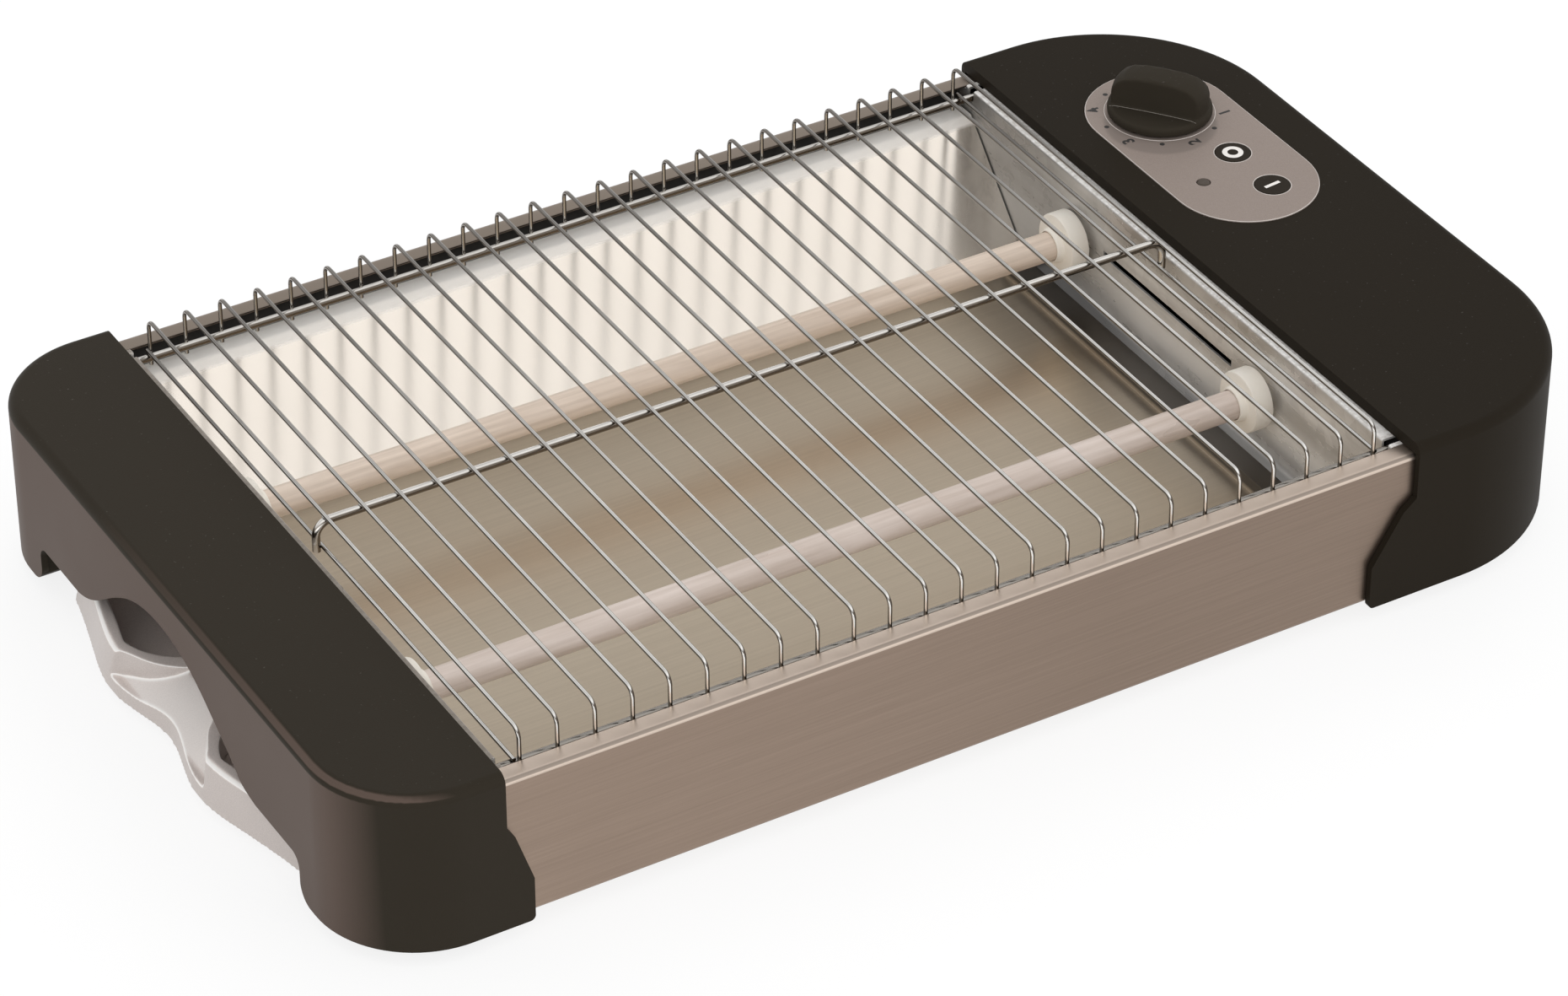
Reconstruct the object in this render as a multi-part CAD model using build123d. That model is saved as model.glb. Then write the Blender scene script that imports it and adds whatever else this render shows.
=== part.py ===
from build123d import *
import os
from math import cos, sin, radians

# Electric flat toaster. Millimetres, +Z up, +X towards the control housing, -Y to the front.
# The origin is on the table, under the middle of the whole length and width.

# Wire rack, seen from above as a grille of bent cross wires
cross_wire_count = 25
cross_wire_diameter = 1.2
frame_wire_diameter = 2.4
rack_top = 60.0
rack_end_gap = 8.95
rack_side_gap = 7.2
rack_leg_length = 15.6
rack_rod_drop = 11.9
leg_bend_radius = 2.8
bar_bend_radius = 4.5
bend_steps = 2
wire_sides = 6
small_sides = 8
rod_overhang = 1.5
weld_gap = 0.05
weld_bite = 0.15

# Brushed side panels
opening_length = 281.9
body_width = 230.4
panel_thickness = 0.8
panel_top = 50.7
panel_bottom = 5.7
panel_top_flange = 5.9
panel_runner_flange = 43.0
panel_bend_radius = 1.3
panel_tuck = 6.0

# Galvanised end plates and bright reflectors
plate_thickness = 0.8
plate_margin = 3.7
plate_fold = 7.0
plate_tab_clearance = 4.0
plate_side_tab = 8.0
left_plate_bottom = 13.0
rod_notch_clearance = 0.2
slot_end_gap = 14.3
slot_height = 2.2
slot_level = 33.6
reflector_thickness = 0.6
reflector_run = 29.9
reflector_low_level = 10.6
reflector_shelf = 9.0
reflector_shelf_level = 42.4
reflector_tab = 5.0
reflector_end_gap = 0.4

# Quartz heaters in ceramic holders
heater_side_gap = 67.9
heater_level = 31.4
tube_diameter = 8.6
tube_wall = 1.0
winding_diameter = 5.0
holder_disc_diameter = 26.0
holder_disc_thickness = 6.4
holder_hub_diameter = 14.4
holder_hub_length = 5.4
holder_neck_diameter = 9.0
holder_neck_length = 7.0
tube_socket_depth = 4.6
tube_clearance = 0.1
tube_end_play = 0.3
winding_setback = 2.0
terminal_diameter = 2.4
terminal_length = 9.0
link_width = 8.0
link_thickness = 0.8
lead_diameter = 2.6
lead_bend_radius = 4.0

# End mouldings
end_side_lap = 2.1
end_top = 54.5
skirt_bottom = 4.8
moulding_wall = 2.0
moulding_roof = 2.4
top_edge_radius = 3.0
cap_length = 40.7
cap_corner_radius = 30.0
housing_length = 71.4
housing_corner_radius = 54.0
lip_thickness = 2.0
seat_gap = 0.25
hole_clearance = 0.2
cap_lobe_reach = 7.4
housing_lobe_reach = 13.7
lobe_top = 37.4
lobe_knee = 18.5
lobe_corner_radius = 1.6
lobe_neck_drop = 3.4
lobe_root = 12.0
roof_bond = 0.4

# Arch in the left cap, where the tray is pulled
arch_top = 41.9
arch_shoulder = 18.2
arch_bell_half_width = 54.0
arch_side_clearance = 2.0
arch_corner_radius = 4.0
leg_corner_radius = 5.5
guide_wall_offset = 0.5
guide_wall_length = 13.0

# Crumb tray and its pull
tray_lap = 4.8
tray_floor = 7.4
tray_sheet = 0.7
tray_rim = 9.6
tray_step_height = 12.0
tray_step_length = 6.0
tray_step_clearance = 2.5
tray_end_gap = 2.2
tray_screw_spacing = 50.0
tray_screw_head = 1.4
tray_screw_end = 2.0
pull_reach = 4.1
pull_side_step = 8.0
pull_bottom = 4.0
pull_rim_top = 16.5
pull_lean = 2.6
pull_scoop = 4.4
pull_sweep = 9.0
pull_depth = 24.6
pull_rim_chamfer = 1.0
pull_fullness = 0.42
pocket_rim = 3.6
pocket_end_wall = 7.0
pocket_outer_waist = 22.6
pocket_inner_waist = 17.2
pocket_back_waist = 13.0
pocket_corner_radius = 2.5
dish_low = 8.0
dish_high = 15.2
dish_run = 13.0
dish_front_half = 26.5
dish_middle_half = 12.6
dish_back_half = 8.5
carrier_clearance = 1.2
carrier_floor_bottom = 4.5
carrier_floor_top = 6.5
carrier_wall = 3.0
carrier_cove = 5.0
carrier_tail = 9.0

# Feet
foot_diameter = 20.0
foot_clearance = 0.5
foot_height = 5.2
foot_stud_diameter = 5.6
foot_stud_length = 9.0
foot_column_diameter = 12.0
foot_chamfer = 1.2
cap_foot_inset = 26.9
cap_foot_edge = 16.0
housing_foot_inset = 31.3
housing_foot_edge = 32.3

# Control panel
plate_width = 44.3
plate_depth = 0.9
plate_proud = 0.3
plate_offset = 1.5
knob_side_gap = 55.3
plate_low_y = 18.2
knob_diameter = 31.2
knob_gap = 0.5
knob_skirt = 2.5
knob_skirt_crown = 1.1
knob_height = 13.6
knob_grip_foot = 12.4
knob_grip_crest = 6.4
knob_roof = 3.0
knob_rest_angle = -52.0
spindle_diameter = 6.0
spindle_clearance = 0.06
spindle_hole_clearance = 1.2
spindle_lift = 2.0
button_offset = 5.8
stop_button_y = 32.2
start_button_y = 11.9
button_diameter = 10.6
button_clearance = 0.15
button_flange_diameter = 13.2
button_flange = 1.4
button_stem_diameter = 4.0
button_travel = 1.2
button_play = 0.2
button_proud = 0.1
button_edge = 0.3
switch_plunger_diameter = 3.2
plunger_depth = 1.7
plunger_reserve = 0.4
switch_case = 7.0
switch_case_height = 3.5
lens_offset = -10.5
lens_y = 23.2
lens_diameter = 4.0
lens_proud = 0.1
lens_flange = 1.2
lens_flange_diameter = 6.0
lamp_diameter = 3.0
lamp_gap = 0.4

# Electronics under the control panel
board_level = 40.0
board_thickness = 1.6
board_side_gap = 27.4
board_end_margin = 16.1
board_post_width = 6.0
board_post_inset = 4.0
pot_diameter = 17.0
pot_height = 8.0
relay_width = 16.0
relay_length = 20.0
relay_height = 14.0
terminal_block_width = 12.0
terminal_block_length = 24.0
terminal_block_height = 11.0
terminal_block_inset = 2.0
terminal_block_offset = 4.0
terminal_count = 3
terminal_hole_depth = 8.0
terminal_hole_diameter = 4.0
base_cover_thickness = 2.0
base_cover_gap = 0.3
vent_length = 34.0
vent_width = 3.0
vent_count = 5
vent_step = 8.0
gland_diameter = 12.0
gland_bore = 7.2
gland_level = 18.0
gland_y = 40.0
gland_flange = 2.0
gland_flange_diameter = 16.0
gland_tail = 4.0
screw_diameter = 3.0
screw_head_diameter = 5.6
screw_head_height = 2.0
screw_length = 8.0
cover_screw_inset = 10.0
cover_front_inner_y = 88.0
cover_rear_inner_y = 96.0
cover_front_outer_y = 44.0
cover_rear_outer_y = 64.0

# Places along the length, from the left end of the tray's pull
overall_length = pull_reach + cap_length + opening_length + housing_length
cap_outer = pull_reach - overall_length / 2
cap_inner = cap_outer + cap_length
housing_inner = cap_inner + opening_length
housing_outer = housing_inner + housing_length
rack_x = (cap_inner + housing_inner) / 2
rack_reach = opening_length / 2 - rack_end_gap
wire_pitch = 2 * rack_reach / (cross_wire_count - 1)

half_body = body_width / 2
half_end = half_body + end_side_lap
end_width = 2 * half_end
wire_r = cross_wire_diameter / 2
frame_r = frame_wire_diameter / 2
leg_y = half_body - rack_side_gap
rod_y = leg_y - wire_r - frame_r - weld_gap
rod_level = rack_top - rack_rod_drop
end_wire_x = rack_reach + 2 * wire_r + weld_gap
bar_end_x = end_wire_x + wire_r + frame_r - weld_bite
plate_face = opening_length / 2 - plate_margin
panel_inside = half_body - panel_thickness
reflector_high_edge = panel_inside - reflector_shelf
reflector_low_edge = reflector_high_edge - reflector_run
roof_under = end_top - moulding_roof
heater_y = half_body - heater_side_gap
slot_half = heater_y - slot_end_gap
tray_half_width = half_body - panel_runner_flange + tray_lap
arch_half_width = tray_half_width + arch_side_clearance
pull_half_width = tray_half_width - pull_side_step
pull_front = cap_outer - pull_reach
pull_back = pull_front + pull_depth
carrier_wall_x = pull_back + seat_gap
cap_foot_y = half_end - cap_foot_edge
housing_foot_y = half_end - housing_foot_edge
plate_x = housing_inner + housing_length / 2 - plate_offset
knob_y = half_end - knob_side_gap
plate_y = (knob_y + plate_low_y) / 2
button_x = plate_x + button_offset
lens_x = plate_x + lens_offset
board_width = housing_length - board_side_gap
board_length = knob_y - plate_low_y + 2 * board_end_margin
panel_top_z = end_top - plate_depth
plate_face_z = end_top + plate_proud
board_top = board_level + board_thickness

os.makedirs("parts", exist_ok=True)


def write_node(name, *solids):
    """Write one node, from one solid or a group of separate solids."""
    shape = solids[0] if len(solids) == 1 else Compound(children=list(solids))
    export_step(shape, "parts/" + name + ".step")


def block(x0, x1, y0, y1, z0, z1):
    """A rectangular block between six planes."""
    return Pos((x0 + x1) / 2, (y0 + y1) / 2, (z0 + z1) / 2) * Box(x1 - x0, y1 - y0, z1 - z0)


def square_post(x, y, z0, z1, side):
    """An upright square bar."""
    return block(x - side / 2, x + side / 2, y - side / 2, y + side / 2, z0, z1)


def post(x, y, z0, z1, diameter):
    """An upright cylinder."""
    return Pos(x, y, (z0 + z1) / 2) * Cylinder(diameter / 2, z1 - z0)


def rod_along_x(x0, x1, y, z, diameter):
    """A round bar that lies along X."""
    return Pos((x0 + x1) / 2, y, z) * Rot(0, 90, 0) * Cylinder(diameter / 2, x1 - x0)


def small_post(x, y, z0, z1, diameter):
    """A small upright round, such as a screw or its hole, drawn with a few flats."""
    return Pos(x, y, z0) * extrude(RegularPolygon(diameter / 2, small_sides), z1 - z0)


def small_rod(x0, x1, y, z, diameter):
    """A small round along X, such as a wire or a pin, drawn with a few flats."""
    return Pos(x0, y, z) * Rot(0, 90, 0) * extrude(RegularPolygon(diameter / 2, small_sides), x1 - x0)


def front_and_rear(shape):
    """A piece and its mirror image across the long middle plane."""
    return [shape, mirror(shape, about=Plane.XZ)]


def bent_wire(points, bend_radius, diameter):
    """A wire with a square bend at each inner point; bends and section run in short flats."""
    path = [Vector(*points[0])]
    for before, corner, after in zip(points, points[1:], points[2:]):
        inward = (Vector(*corner) - Vector(*before)).normalized()
        outward = (Vector(*after) - Vector(*corner)).normalized()
        centre = Vector(*corner) + (outward - inward) * bend_radius
        for step in range(bend_steps + 1):
            turn = radians(90.0 * step / bend_steps)
            path.append(centre + (inward * sin(turn) - outward * cos(turn)) * bend_radius)
    path.append(Vector(*points[-1]))
    line = Polyline(*path)
    section = Plane(origin=line @ 0, z_dir=line % 0) * RegularPolygon(diameter / 2, wire_sides)
    return sweep(section, path=line, transition=Transition.RIGHT)


def folded_sheet(points, bend_radius, thickness, x0, x1):
    """Sheet metal with one section across the width, between two places along X."""
    middle_line = FilletPolyline(*points, radius=bend_radius)
    section = Plane.YZ * trace(middle_line, thickness)
    return Pos(x0, 0, 0) * extrude(section, x1 - x0)


def build_wire_rack():
    """The lift-out rack: cross wires standing on a welded frame."""
    wire_z = rack_top - wire_r
    leg_tip = rack_top - rack_leg_length
    one_wire = bent_wire(
        [(0, -leg_y, leg_tip), (0, -leg_y, wire_z), (0, leg_y, wire_z), (0, leg_y, leg_tip)],
        leg_bend_radius, cross_wire_diameter)
    wires = [Pos(rack_x - rack_reach + i * wire_pitch, 0, 0) * one_wire for i in range(cross_wire_count)]
    write_node("rack_cross_wires", *wires)

    rod_reach = plate_face + plate_thickness + rod_overhang
    rods = [small_rod(rack_x - rod_reach, rack_x + rod_reach, side * rod_y, rod_level, frame_wire_diameter)
            for side in (-1, 1)]
    end_wire_z = rod_level + frame_r + wire_r - weld_bite
    end_wire_half = rod_y + frame_r
    end_wire = Rot(90, 0, 0) * extrude(RegularPolygon(wire_r, small_sides), end_wire_half, both=True)
    end_wires = [Pos(rack_x + side * end_wire_x, 0, end_wire_z) * end_wire for side in (-1, 1)]
    bar_z = wire_z - wire_r - frame_r - weld_gap
    bar_tip = end_wire_z - frame_r
    bar = bent_wire(
        [(rack_x - bar_end_x, 0, bar_tip), (rack_x - bar_end_x, 0, bar_z),
         (rack_x + bar_end_x, 0, bar_z), (rack_x + bar_end_x, 0, bar_tip)],
        bar_bend_radius, frame_wire_diameter)
    frame = bar
    for piece in rods + end_wires:
        frame = frame + piece
    write_node("rack_frame", frame)


def build_side_panels():
    """Brushed C-section panels; the low flange carries the crumb tray."""
    skin = half_body - panel_thickness / 2
    section = [(half_body - panel_top_flange, panel_top - panel_thickness / 2),
               (skin, panel_top - panel_thickness / 2),
               (skin, panel_bottom + panel_thickness / 2),
               (half_body - panel_runner_flange, panel_bottom + panel_thickness / 2)]
    panel = folded_sheet(section, panel_bend_radius, panel_thickness,
                         cap_inner - panel_tuck, housing_inner + panel_tuck)
    rear, front = front_and_rear(panel)
    write_node("rear_panel", rear)
    write_node("front_panel", front)


def build_reflectors():
    """Bright sheets that slope from the rack's rods down to the tray."""
    tab_y = panel_inside - reflector_thickness / 2
    section = [(reflector_low_edge, reflector_low_level),
               (reflector_high_edge, reflector_shelf_level),
               (tab_y, reflector_shelf_level),
               (tab_y, reflector_shelf_level + reflector_tab)]
    reach = plate_face - reflector_end_gap
    sheet = folded_sheet(section, panel_bend_radius, reflector_thickness, rack_x - reach, rack_x + reach)
    rear, front = front_and_rear(sheet)
    write_node("rear_reflector", rear)
    write_node("front_reflector", front)


def end_plate(side, bottom):
    """A galvanised end wall with a folded top, side tabs, heater holes and rod notches."""
    inner = plate_face
    outer = plate_face + plate_thickness
    web = block(inner, outer, -panel_inside, panel_inside, bottom, panel_top)
    top_fold = block(inner, inner + plate_fold, -panel_inside, panel_inside, panel_top - plate_thickness, panel_top)
    tabs = [block(inner, inner + plate_side_tab, y0, y0 + plate_thickness,
                  bottom + plate_tab_clearance / 2, reflector_shelf_level - plate_tab_clearance)
            for y0 in (-panel_inside, panel_inside - plate_thickness)]
    plate = web + top_fold + tabs[0] + tabs[1]
    folded_edge = plate.edges().filter_by(Axis.Y).sort_by(Axis.Z)[-2:].sort_by(Axis.X)[0]
    plate = fillet(folded_edge, plate_thickness * 0.9)
    flange_relief = panel_top_flange - panel_thickness + seat_gap
    for y_side in (-1, 1):
        notch_half = frame_r + rod_notch_clearance
        y = y_side * rod_y
        plate -= block(inner - 1, inner + plate_fold + 1, y - notch_half, y + notch_half,
                       rod_level - frame_r - seat_gap / 2, panel_top + 1)
        plate -= rod_along_x(inner - 1, outer + 1, y_side * heater_y, heater_level,
                             holder_neck_diameter + 2 * hole_clearance)
        corner = sorted([y_side * (panel_inside - flange_relief), y_side * (panel_inside + 1)])
        plate -= block(inner - 1, inner + plate_fold + 1, corner[0], corner[1],
                       panel_top - panel_thickness - seat_gap, panel_top + 1)
        bend = sorted([y_side * (panel_inside - panel_bend_radius), y_side * (panel_inside + 1)])
        bend_relief = panel_thickness + panel_bend_radius
        plate -= block(inner - 1, outer, bend[0], bend[1], panel_top - bend_relief, panel_top)
        plate -= block(inner - 1, outer, bend[0], bend[1], panel_bottom, panel_bottom + bend_relief)
    if side > 0:
        plate -= block(inner - 1, outer + 1, -slot_half, slot_half,
                       slot_level - slot_height / 2, slot_level + slot_height / 2)
        return Pos(rack_x, 0, 0) * plate
    return Pos(rack_x, 0, 0) * mirror(plate, about=Plane.YZ)


def build_end_plates():
    write_node("left_end_plate", end_plate(-1, left_plate_bottom))
    write_node("right_end_plate", end_plate(1, panel_bottom + panel_thickness + seat_gap))


def heater_holder(side, y):
    """Ceramic holder: a disc against the plate, a hub for the tube and a neck through the plate."""
    disc_front = plate_face - holder_disc_thickness
    hub_front = disc_front - holder_hub_length
    neck_end = plate_face + holder_neck_length
    body = rod_along_x(disc_front, plate_face, 0, 0, holder_disc_diameter)
    body += rod_along_x(hub_front, disc_front, 0, 0, holder_hub_diameter)
    body += small_rod(plate_face, neck_end, 0, 0, holder_neck_diameter)
    body -= rod_along_x(hub_front - 1, hub_front + tube_socket_depth, 0, 0, tube_diameter + 2 * tube_clearance)
    body -= small_rod(hub_front, neck_end + 1, 0, 0, terminal_diameter + 2 * tube_clearance)
    if side < 0:
        body = mirror(body, about=Plane.YZ)
    return Pos(rack_x, y, heater_level) * body


def heater_terminal(side, y):
    """The steel terminal pin that stands out of a holder's neck."""
    start = plate_face - holder_disc_thickness - holder_hub_length + tube_socket_depth + tube_clearance
    end = plate_face + holder_neck_length + terminal_length
    pin = small_rod(start, end, 0, 0, terminal_diameter)
    if side < 0:
        pin = mirror(pin, about=Plane.YZ)
    return Pos(rack_x, y, heater_level) * pin


def build_heaters():
    """Two quartz tubes with their windings, each held by two ceramic holders."""
    hub_front = plate_face - holder_disc_thickness - holder_hub_length
    tube_half = hub_front + tube_socket_depth - tube_end_play
    winding_half = hub_front - winding_setback
    for name, y in (("front", -heater_y), ("rear", heater_y)):
        tube = rod_along_x(-tube_half, tube_half, 0, 0, tube_diameter)
        tube -= rod_along_x(-tube_half, tube_half, 0, 0, tube_diameter - 2 * tube_wall)
        write_node(name + "_heater_tube", Pos(rack_x, y, heater_level) * tube)
        winding = small_rod(-winding_half, winding_half, 0, 0, winding_diameter)
        for side in (-1, 1):
            tail = sorted([side * winding_half, side * (tube_half - tube_end_play)])
            winding += small_rod(tail[0], tail[1], 0, 0, tube_wall)
        write_node(name + "_heater_winding", Pos(rack_x, y, heater_level) * winding)
        write_node(name + "_heater_holders", heater_holder(-1, y), heater_holder(1, y))
    for name, side in (("left", -1), ("right", 1)):
        write_node(name + "_heater_terminals", heater_terminal(side, -heater_y), heater_terminal(side, heater_y))


def end_plan(length, width, corner_radius, inset, run_in):
    """Plan of an end moulding, rounded at its two outer corners. The outer end is at x = length."""
    half = width / 2 - inset
    reach = length - inset
    face = make_face(Polyline((-run_in, -half), (reach, -half), (reach, half), (-run_in, half), close=True))
    corners = face.vertices().sort_by(Axis.X)[-2:]
    return fillet(corners, corner_radius - inset)


def lobe(reach):
    """The ear of an end moulding that overlaps a side panel, drawn towards -X."""
    root = end_top - lobe_root
    outline = Polyline((moulding_wall, root), (0, root), (0, lobe_top), (-0.3 * reach, lobe_top - lobe_neck_drop),
                       (-reach, lobe_knee), (-reach, skirt_bottom), (moulding_wall, skirt_bottom), close=True)
    face = make_face(outline)
    low_corner = face.vertices().sort_by(Axis.X)[:2].sort_by(Axis.Y)[0]
    face = fillet(low_corner, lobe_corner_radius)
    solid = extrude(Plane.XZ * face, moulding_wall)
    return Pos(0, half_end, 0) * solid


def foot_column(x, y, bottom):
    """Hollow column in a moulding that takes the stud of a foot."""
    column = small_post(x, y, bottom, roof_under + roof_bond, foot_column_diameter)
    bore = small_post(x, y, bottom - 1, bottom + foot_stud_length + 1, foot_stud_diameter + 2 * hole_clearance)
    return column - bore


def end_moulding(length, corner_radius, lobe_reach, foot_inset, foot_y):
    """A thin-walled end moulding, open below and towards the toasting opening at x = 0."""
    body = extrude(end_plan(length, end_width, corner_radius, 0, 0), end_top - skirt_bottom)
    top_rim = body.edges().group_by(Axis.Z)[-1].filter_by(lambda e: (e @ 0.5).X > 0.5)
    body = fillet(top_rim, top_edge_radius)
    hollow = extrude(end_plan(length, end_width, corner_radius, moulding_wall, 1), roof_under - skirt_bottom + 1)
    body = body - Pos(0, 0, -1) * hollow
    body = Pos(0, 0, skirt_bottom) * body
    inside = half_end - moulding_wall
    body += block(0, lip_thickness, -inside, inside, panel_top + seat_gap, roof_under + roof_bond)
    for side in (-1, 1):
        body += foot_column(length - foot_inset, side * foot_y, foot_height + hole_clearance)
    ear = lobe(lobe_reach)
    return body + ear + mirror(ear, about=Plane.XZ)


def arch_face(shrink):
    """The bell-shaped arch with its flat shoulders, drawn in Y and Z, shrunk by a clearance."""
    bell = arch_bell_half_width - shrink
    half = arch_half_width - shrink
    top = arch_top - shrink
    shoulder = arch_shoulder - shrink
    rise = top - shoulder
    half_curve = [(bell, shoulder), (bell * 0.80, shoulder + rise * 0.17), (bell * 0.60, shoulder + rise * 0.49),
                  (bell * 0.30, shoulder + rise * 0.88)]
    other_half = [(-y, z) for y, z in reversed(half_curve)]
    crown = Spline(*half_curve, (0, top), *other_half, tangents=[(-1, 0.15), (-1, -0.15)])
    legs = Polyline((-bell, shoulder), (-half, shoulder), (-half, 0), (half, 0), (half, shoulder), (bell, shoulder))
    face = make_face([crown, legs])
    shoulders = face.vertices().filter_by(lambda v: abs(v.X) > half - 0.1 and v.Y > 1)
    return fillet(shoulders, arch_corner_radius)


def build_left_cap():
    """Left end cap with the arch that the tray slides through, and a guide wall on each side of it."""
    cap = mirror(end_moulding(cap_length, cap_corner_radius, cap_lobe_reach, cap_foot_inset, cap_foot_y),
                 about=Plane.YZ)
    cap = Pos(cap_inner, 0, 0) * cap
    arch = extrude(Plane.YZ * arch_face(0), 2 * moulding_wall)
    cap -= Pos(cap_outer - 1, 0, 0) * arch
    wall_start = arch_half_width + guide_wall_offset
    round_y = arch_half_width + leg_corner_radius
    round_z = skirt_bottom + leg_corner_radius
    for side in (-1, 1):
        y0, y1 = sorted([side * wall_start, side * (wall_start + moulding_wall)])
        cap += block(cap_outer + moulding_wall / 2, cap_outer + guide_wall_length, y0, y1,
                     skirt_bottom, roof_under + roof_bond)
        y0, y1 = sorted([side * (arch_half_width - 1), side * round_y])
        corner = block(cap_outer - 1, cap_outer + guide_wall_length + 1, y0, y1, skirt_bottom - 1, round_z)
        corner -= rod_along_x(cap_outer - 2, cap_outer + guide_wall_length + 2, side * round_y, round_z,
                              2 * leg_corner_radius)
        cap -= corner
    write_node("left_end_cap", cap)


def build_housing():
    """Control housing with the recess for the control plate and the holes through its roof."""
    housing = end_moulding(housing_length, housing_corner_radius, housing_lobe_reach,
                           housing_foot_inset, housing_foot_y)
    housing = Pos(housing_inner, 0, 0) * housing
    for px, py in board_posts():
        housing += square_post(px, py, board_top, roof_under + roof_bond, board_post_width)
        housing -= small_post(px, py, board_top - 1, board_top + screw_length, screw_diameter + 2 * hole_clearance)
    for px, py in cover_screw_places():
        housing += square_post(px, py, skirt_bottom + base_cover_thickness, roof_under + roof_bond, board_post_width)
        housing -= small_post(px, py, skirt_bottom, skirt_bottom + base_cover_thickness + screw_length,
                              screw_diameter + 2 * hole_clearance)
    housing -= Pos(0, 0, panel_top_z) * extrude(control_outline(seat_gap / 2), plate_depth + 1)
    housing -= post(plate_x, knob_y, roof_under - 1, end_top + 1, spindle_diameter + 2 * spindle_hole_clearance)
    for y in (stop_button_y, start_button_y):
        housing -= post(button_x, y, roof_under - 1, end_top + 1, button_diameter + 2 * button_clearance)
    housing -= post(lens_x, lens_y, roof_under - 1, end_top + 1, lens_diameter + 2 * button_clearance)
    housing -= rod_along_x(housing_outer - 2 * moulding_wall, housing_outer + 1, gland_y, gland_level,
                           gland_diameter + 2 * hole_clearance)
    write_node("control_housing", housing)


def control_outline(grow):
    """Stadium plan of the control plate; its upper end is centred on the knob."""
    length = knob_y - plate_low_y + plate_width
    slot = SlotOverall(length + 2 * grow, plate_width + 2 * grow)
    return Pos(plate_x, plate_y, 0) * Rot(0, 0, 90) * slot


def board_posts():
    """Centres of the four posts that the control board hangs from."""
    dx = board_width / 2 - board_post_inset
    dy = board_length / 2 - board_post_inset
    return [(plate_x + sx * dx, plate_y + sy * dy) for sx in (-1, 1) for sy in (-1, 1)]


def cover_screw_places():
    """Centres of the four screws that hold the base cover."""
    x0 = housing_inner + 2 * plate_side_tab
    x1 = housing_outer - cover_screw_inset
    return [(x0, -cover_front_inner_y), (x0, cover_rear_inner_y),
            (x1, -cover_front_outer_y), (x1, cover_rear_outer_y)]


def build_control_plate():
    plate = Pos(0, 0, panel_top_z) * extrude(control_outline(0), plate_face_z - panel_top_z)
    plate = chamfer(plate.edges().group_by(Axis.Z)[-1], plate_proud * 0.8)
    holes = [(plate_x, knob_y, spindle_diameter + 2 * spindle_hole_clearance),
             (button_x, stop_button_y, button_diameter + 2 * button_clearance),
             (button_x, start_button_y, button_diameter + 2 * button_clearance),
             (lens_x, lens_y, lens_diameter + 2 * button_clearance)]
    for x, y, diameter in holes:
        plate -= post(x, y, panel_top_z - 1, plate_face_z + 1, diameter)
    write_node("control_plate", plate)
    lens = post(lens_x, lens_y, roof_under, plate_face_z + lens_proud, lens_diameter)
    lens = chamfer(lens.edges().group_by(Axis.Z)[-1], lens_diameter / 8)
    lens += small_post(lens_x, lens_y, roof_under - lens_flange, roof_under, lens_flange_diameter)
    write_node("indicator_lens", lens)
    lamp = small_post(lens_x, lens_y, board_top, roof_under - lens_flange - lamp_gap, lamp_diameter)
    write_node("indicator_lamp", chamfer(lamp.edges().group_by(Axis.Z)[-1], lamp_diameter / 5))


def knob_dome(foot, crest):
    """The knob's domed body, an arc turned round its axis."""
    radius = knob_diameter / 2
    halfway = sin(radians(45))
    arc = ThreePointArc((radius, foot), (radius * halfway, foot + (crest - foot) * halfway), (0, crest))
    face = make_face([arc, Polyline((0, crest), (0, foot), (radius, foot))])
    return revolve(Plane.XZ * face, axis=Axis.Z)


def build_knob():
    """A domed knob cut away on both sides to a grip bar, over a low crowned skirt, on a steel spindle."""
    foot = plate_face_z + knob_gap
    crest = foot + knob_height
    skirt_top = foot + knob_skirt
    radius = knob_diameter / 2
    skirt_side = Polyline((0, foot), (radius, foot), (radius, skirt_top - knob_skirt_crown),
                          (radius - knob_skirt_crown, skirt_top), (0, skirt_top), close=True)
    skirt = revolve(Plane.XZ * make_face(skirt_side), axis=Axis.Z)
    low = Pos(0, 0, foot) * Rectangle(knob_diameter, knob_grip_foot)
    high = Pos(0, 0, crest) * Rectangle(knob_diameter, knob_grip_crest)
    knob = skirt + (loft([low, high]) & knob_dome(foot, crest))
    knob -= post(0, 0, foot - 1, crest - knob_roof, spindle_diameter + 2 * spindle_clearance)
    place = Pos(plate_x, knob_y, 0) * Rot(0, 0, knob_rest_angle)
    write_node("timer_knob", place * knob)
    spindle_low = board_top + spindle_lift
    spindle = post(0, 0, spindle_low, crest - knob_roof - spindle_clearance, spindle_diameter)
    spindle -= block(-spindle_diameter, spindle_diameter, spindle_diameter * 0.3, spindle_diameter, skirt_top, crest)
    write_node("knob_spindle", place * spindle)
    body = small_post(0, 0, board_top, board_top + pot_height, pot_diameter)
    body += small_post(0, 0, board_top + pot_height, roof_under, spindle_diameter + 2 * spindle_hole_clearance)
    body -= post(0, 0, spindle_low - spindle_clearance, roof_under + 1, spindle_diameter + 2 * spindle_clearance)
    write_node("timer_potentiometer", place * body)


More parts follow.
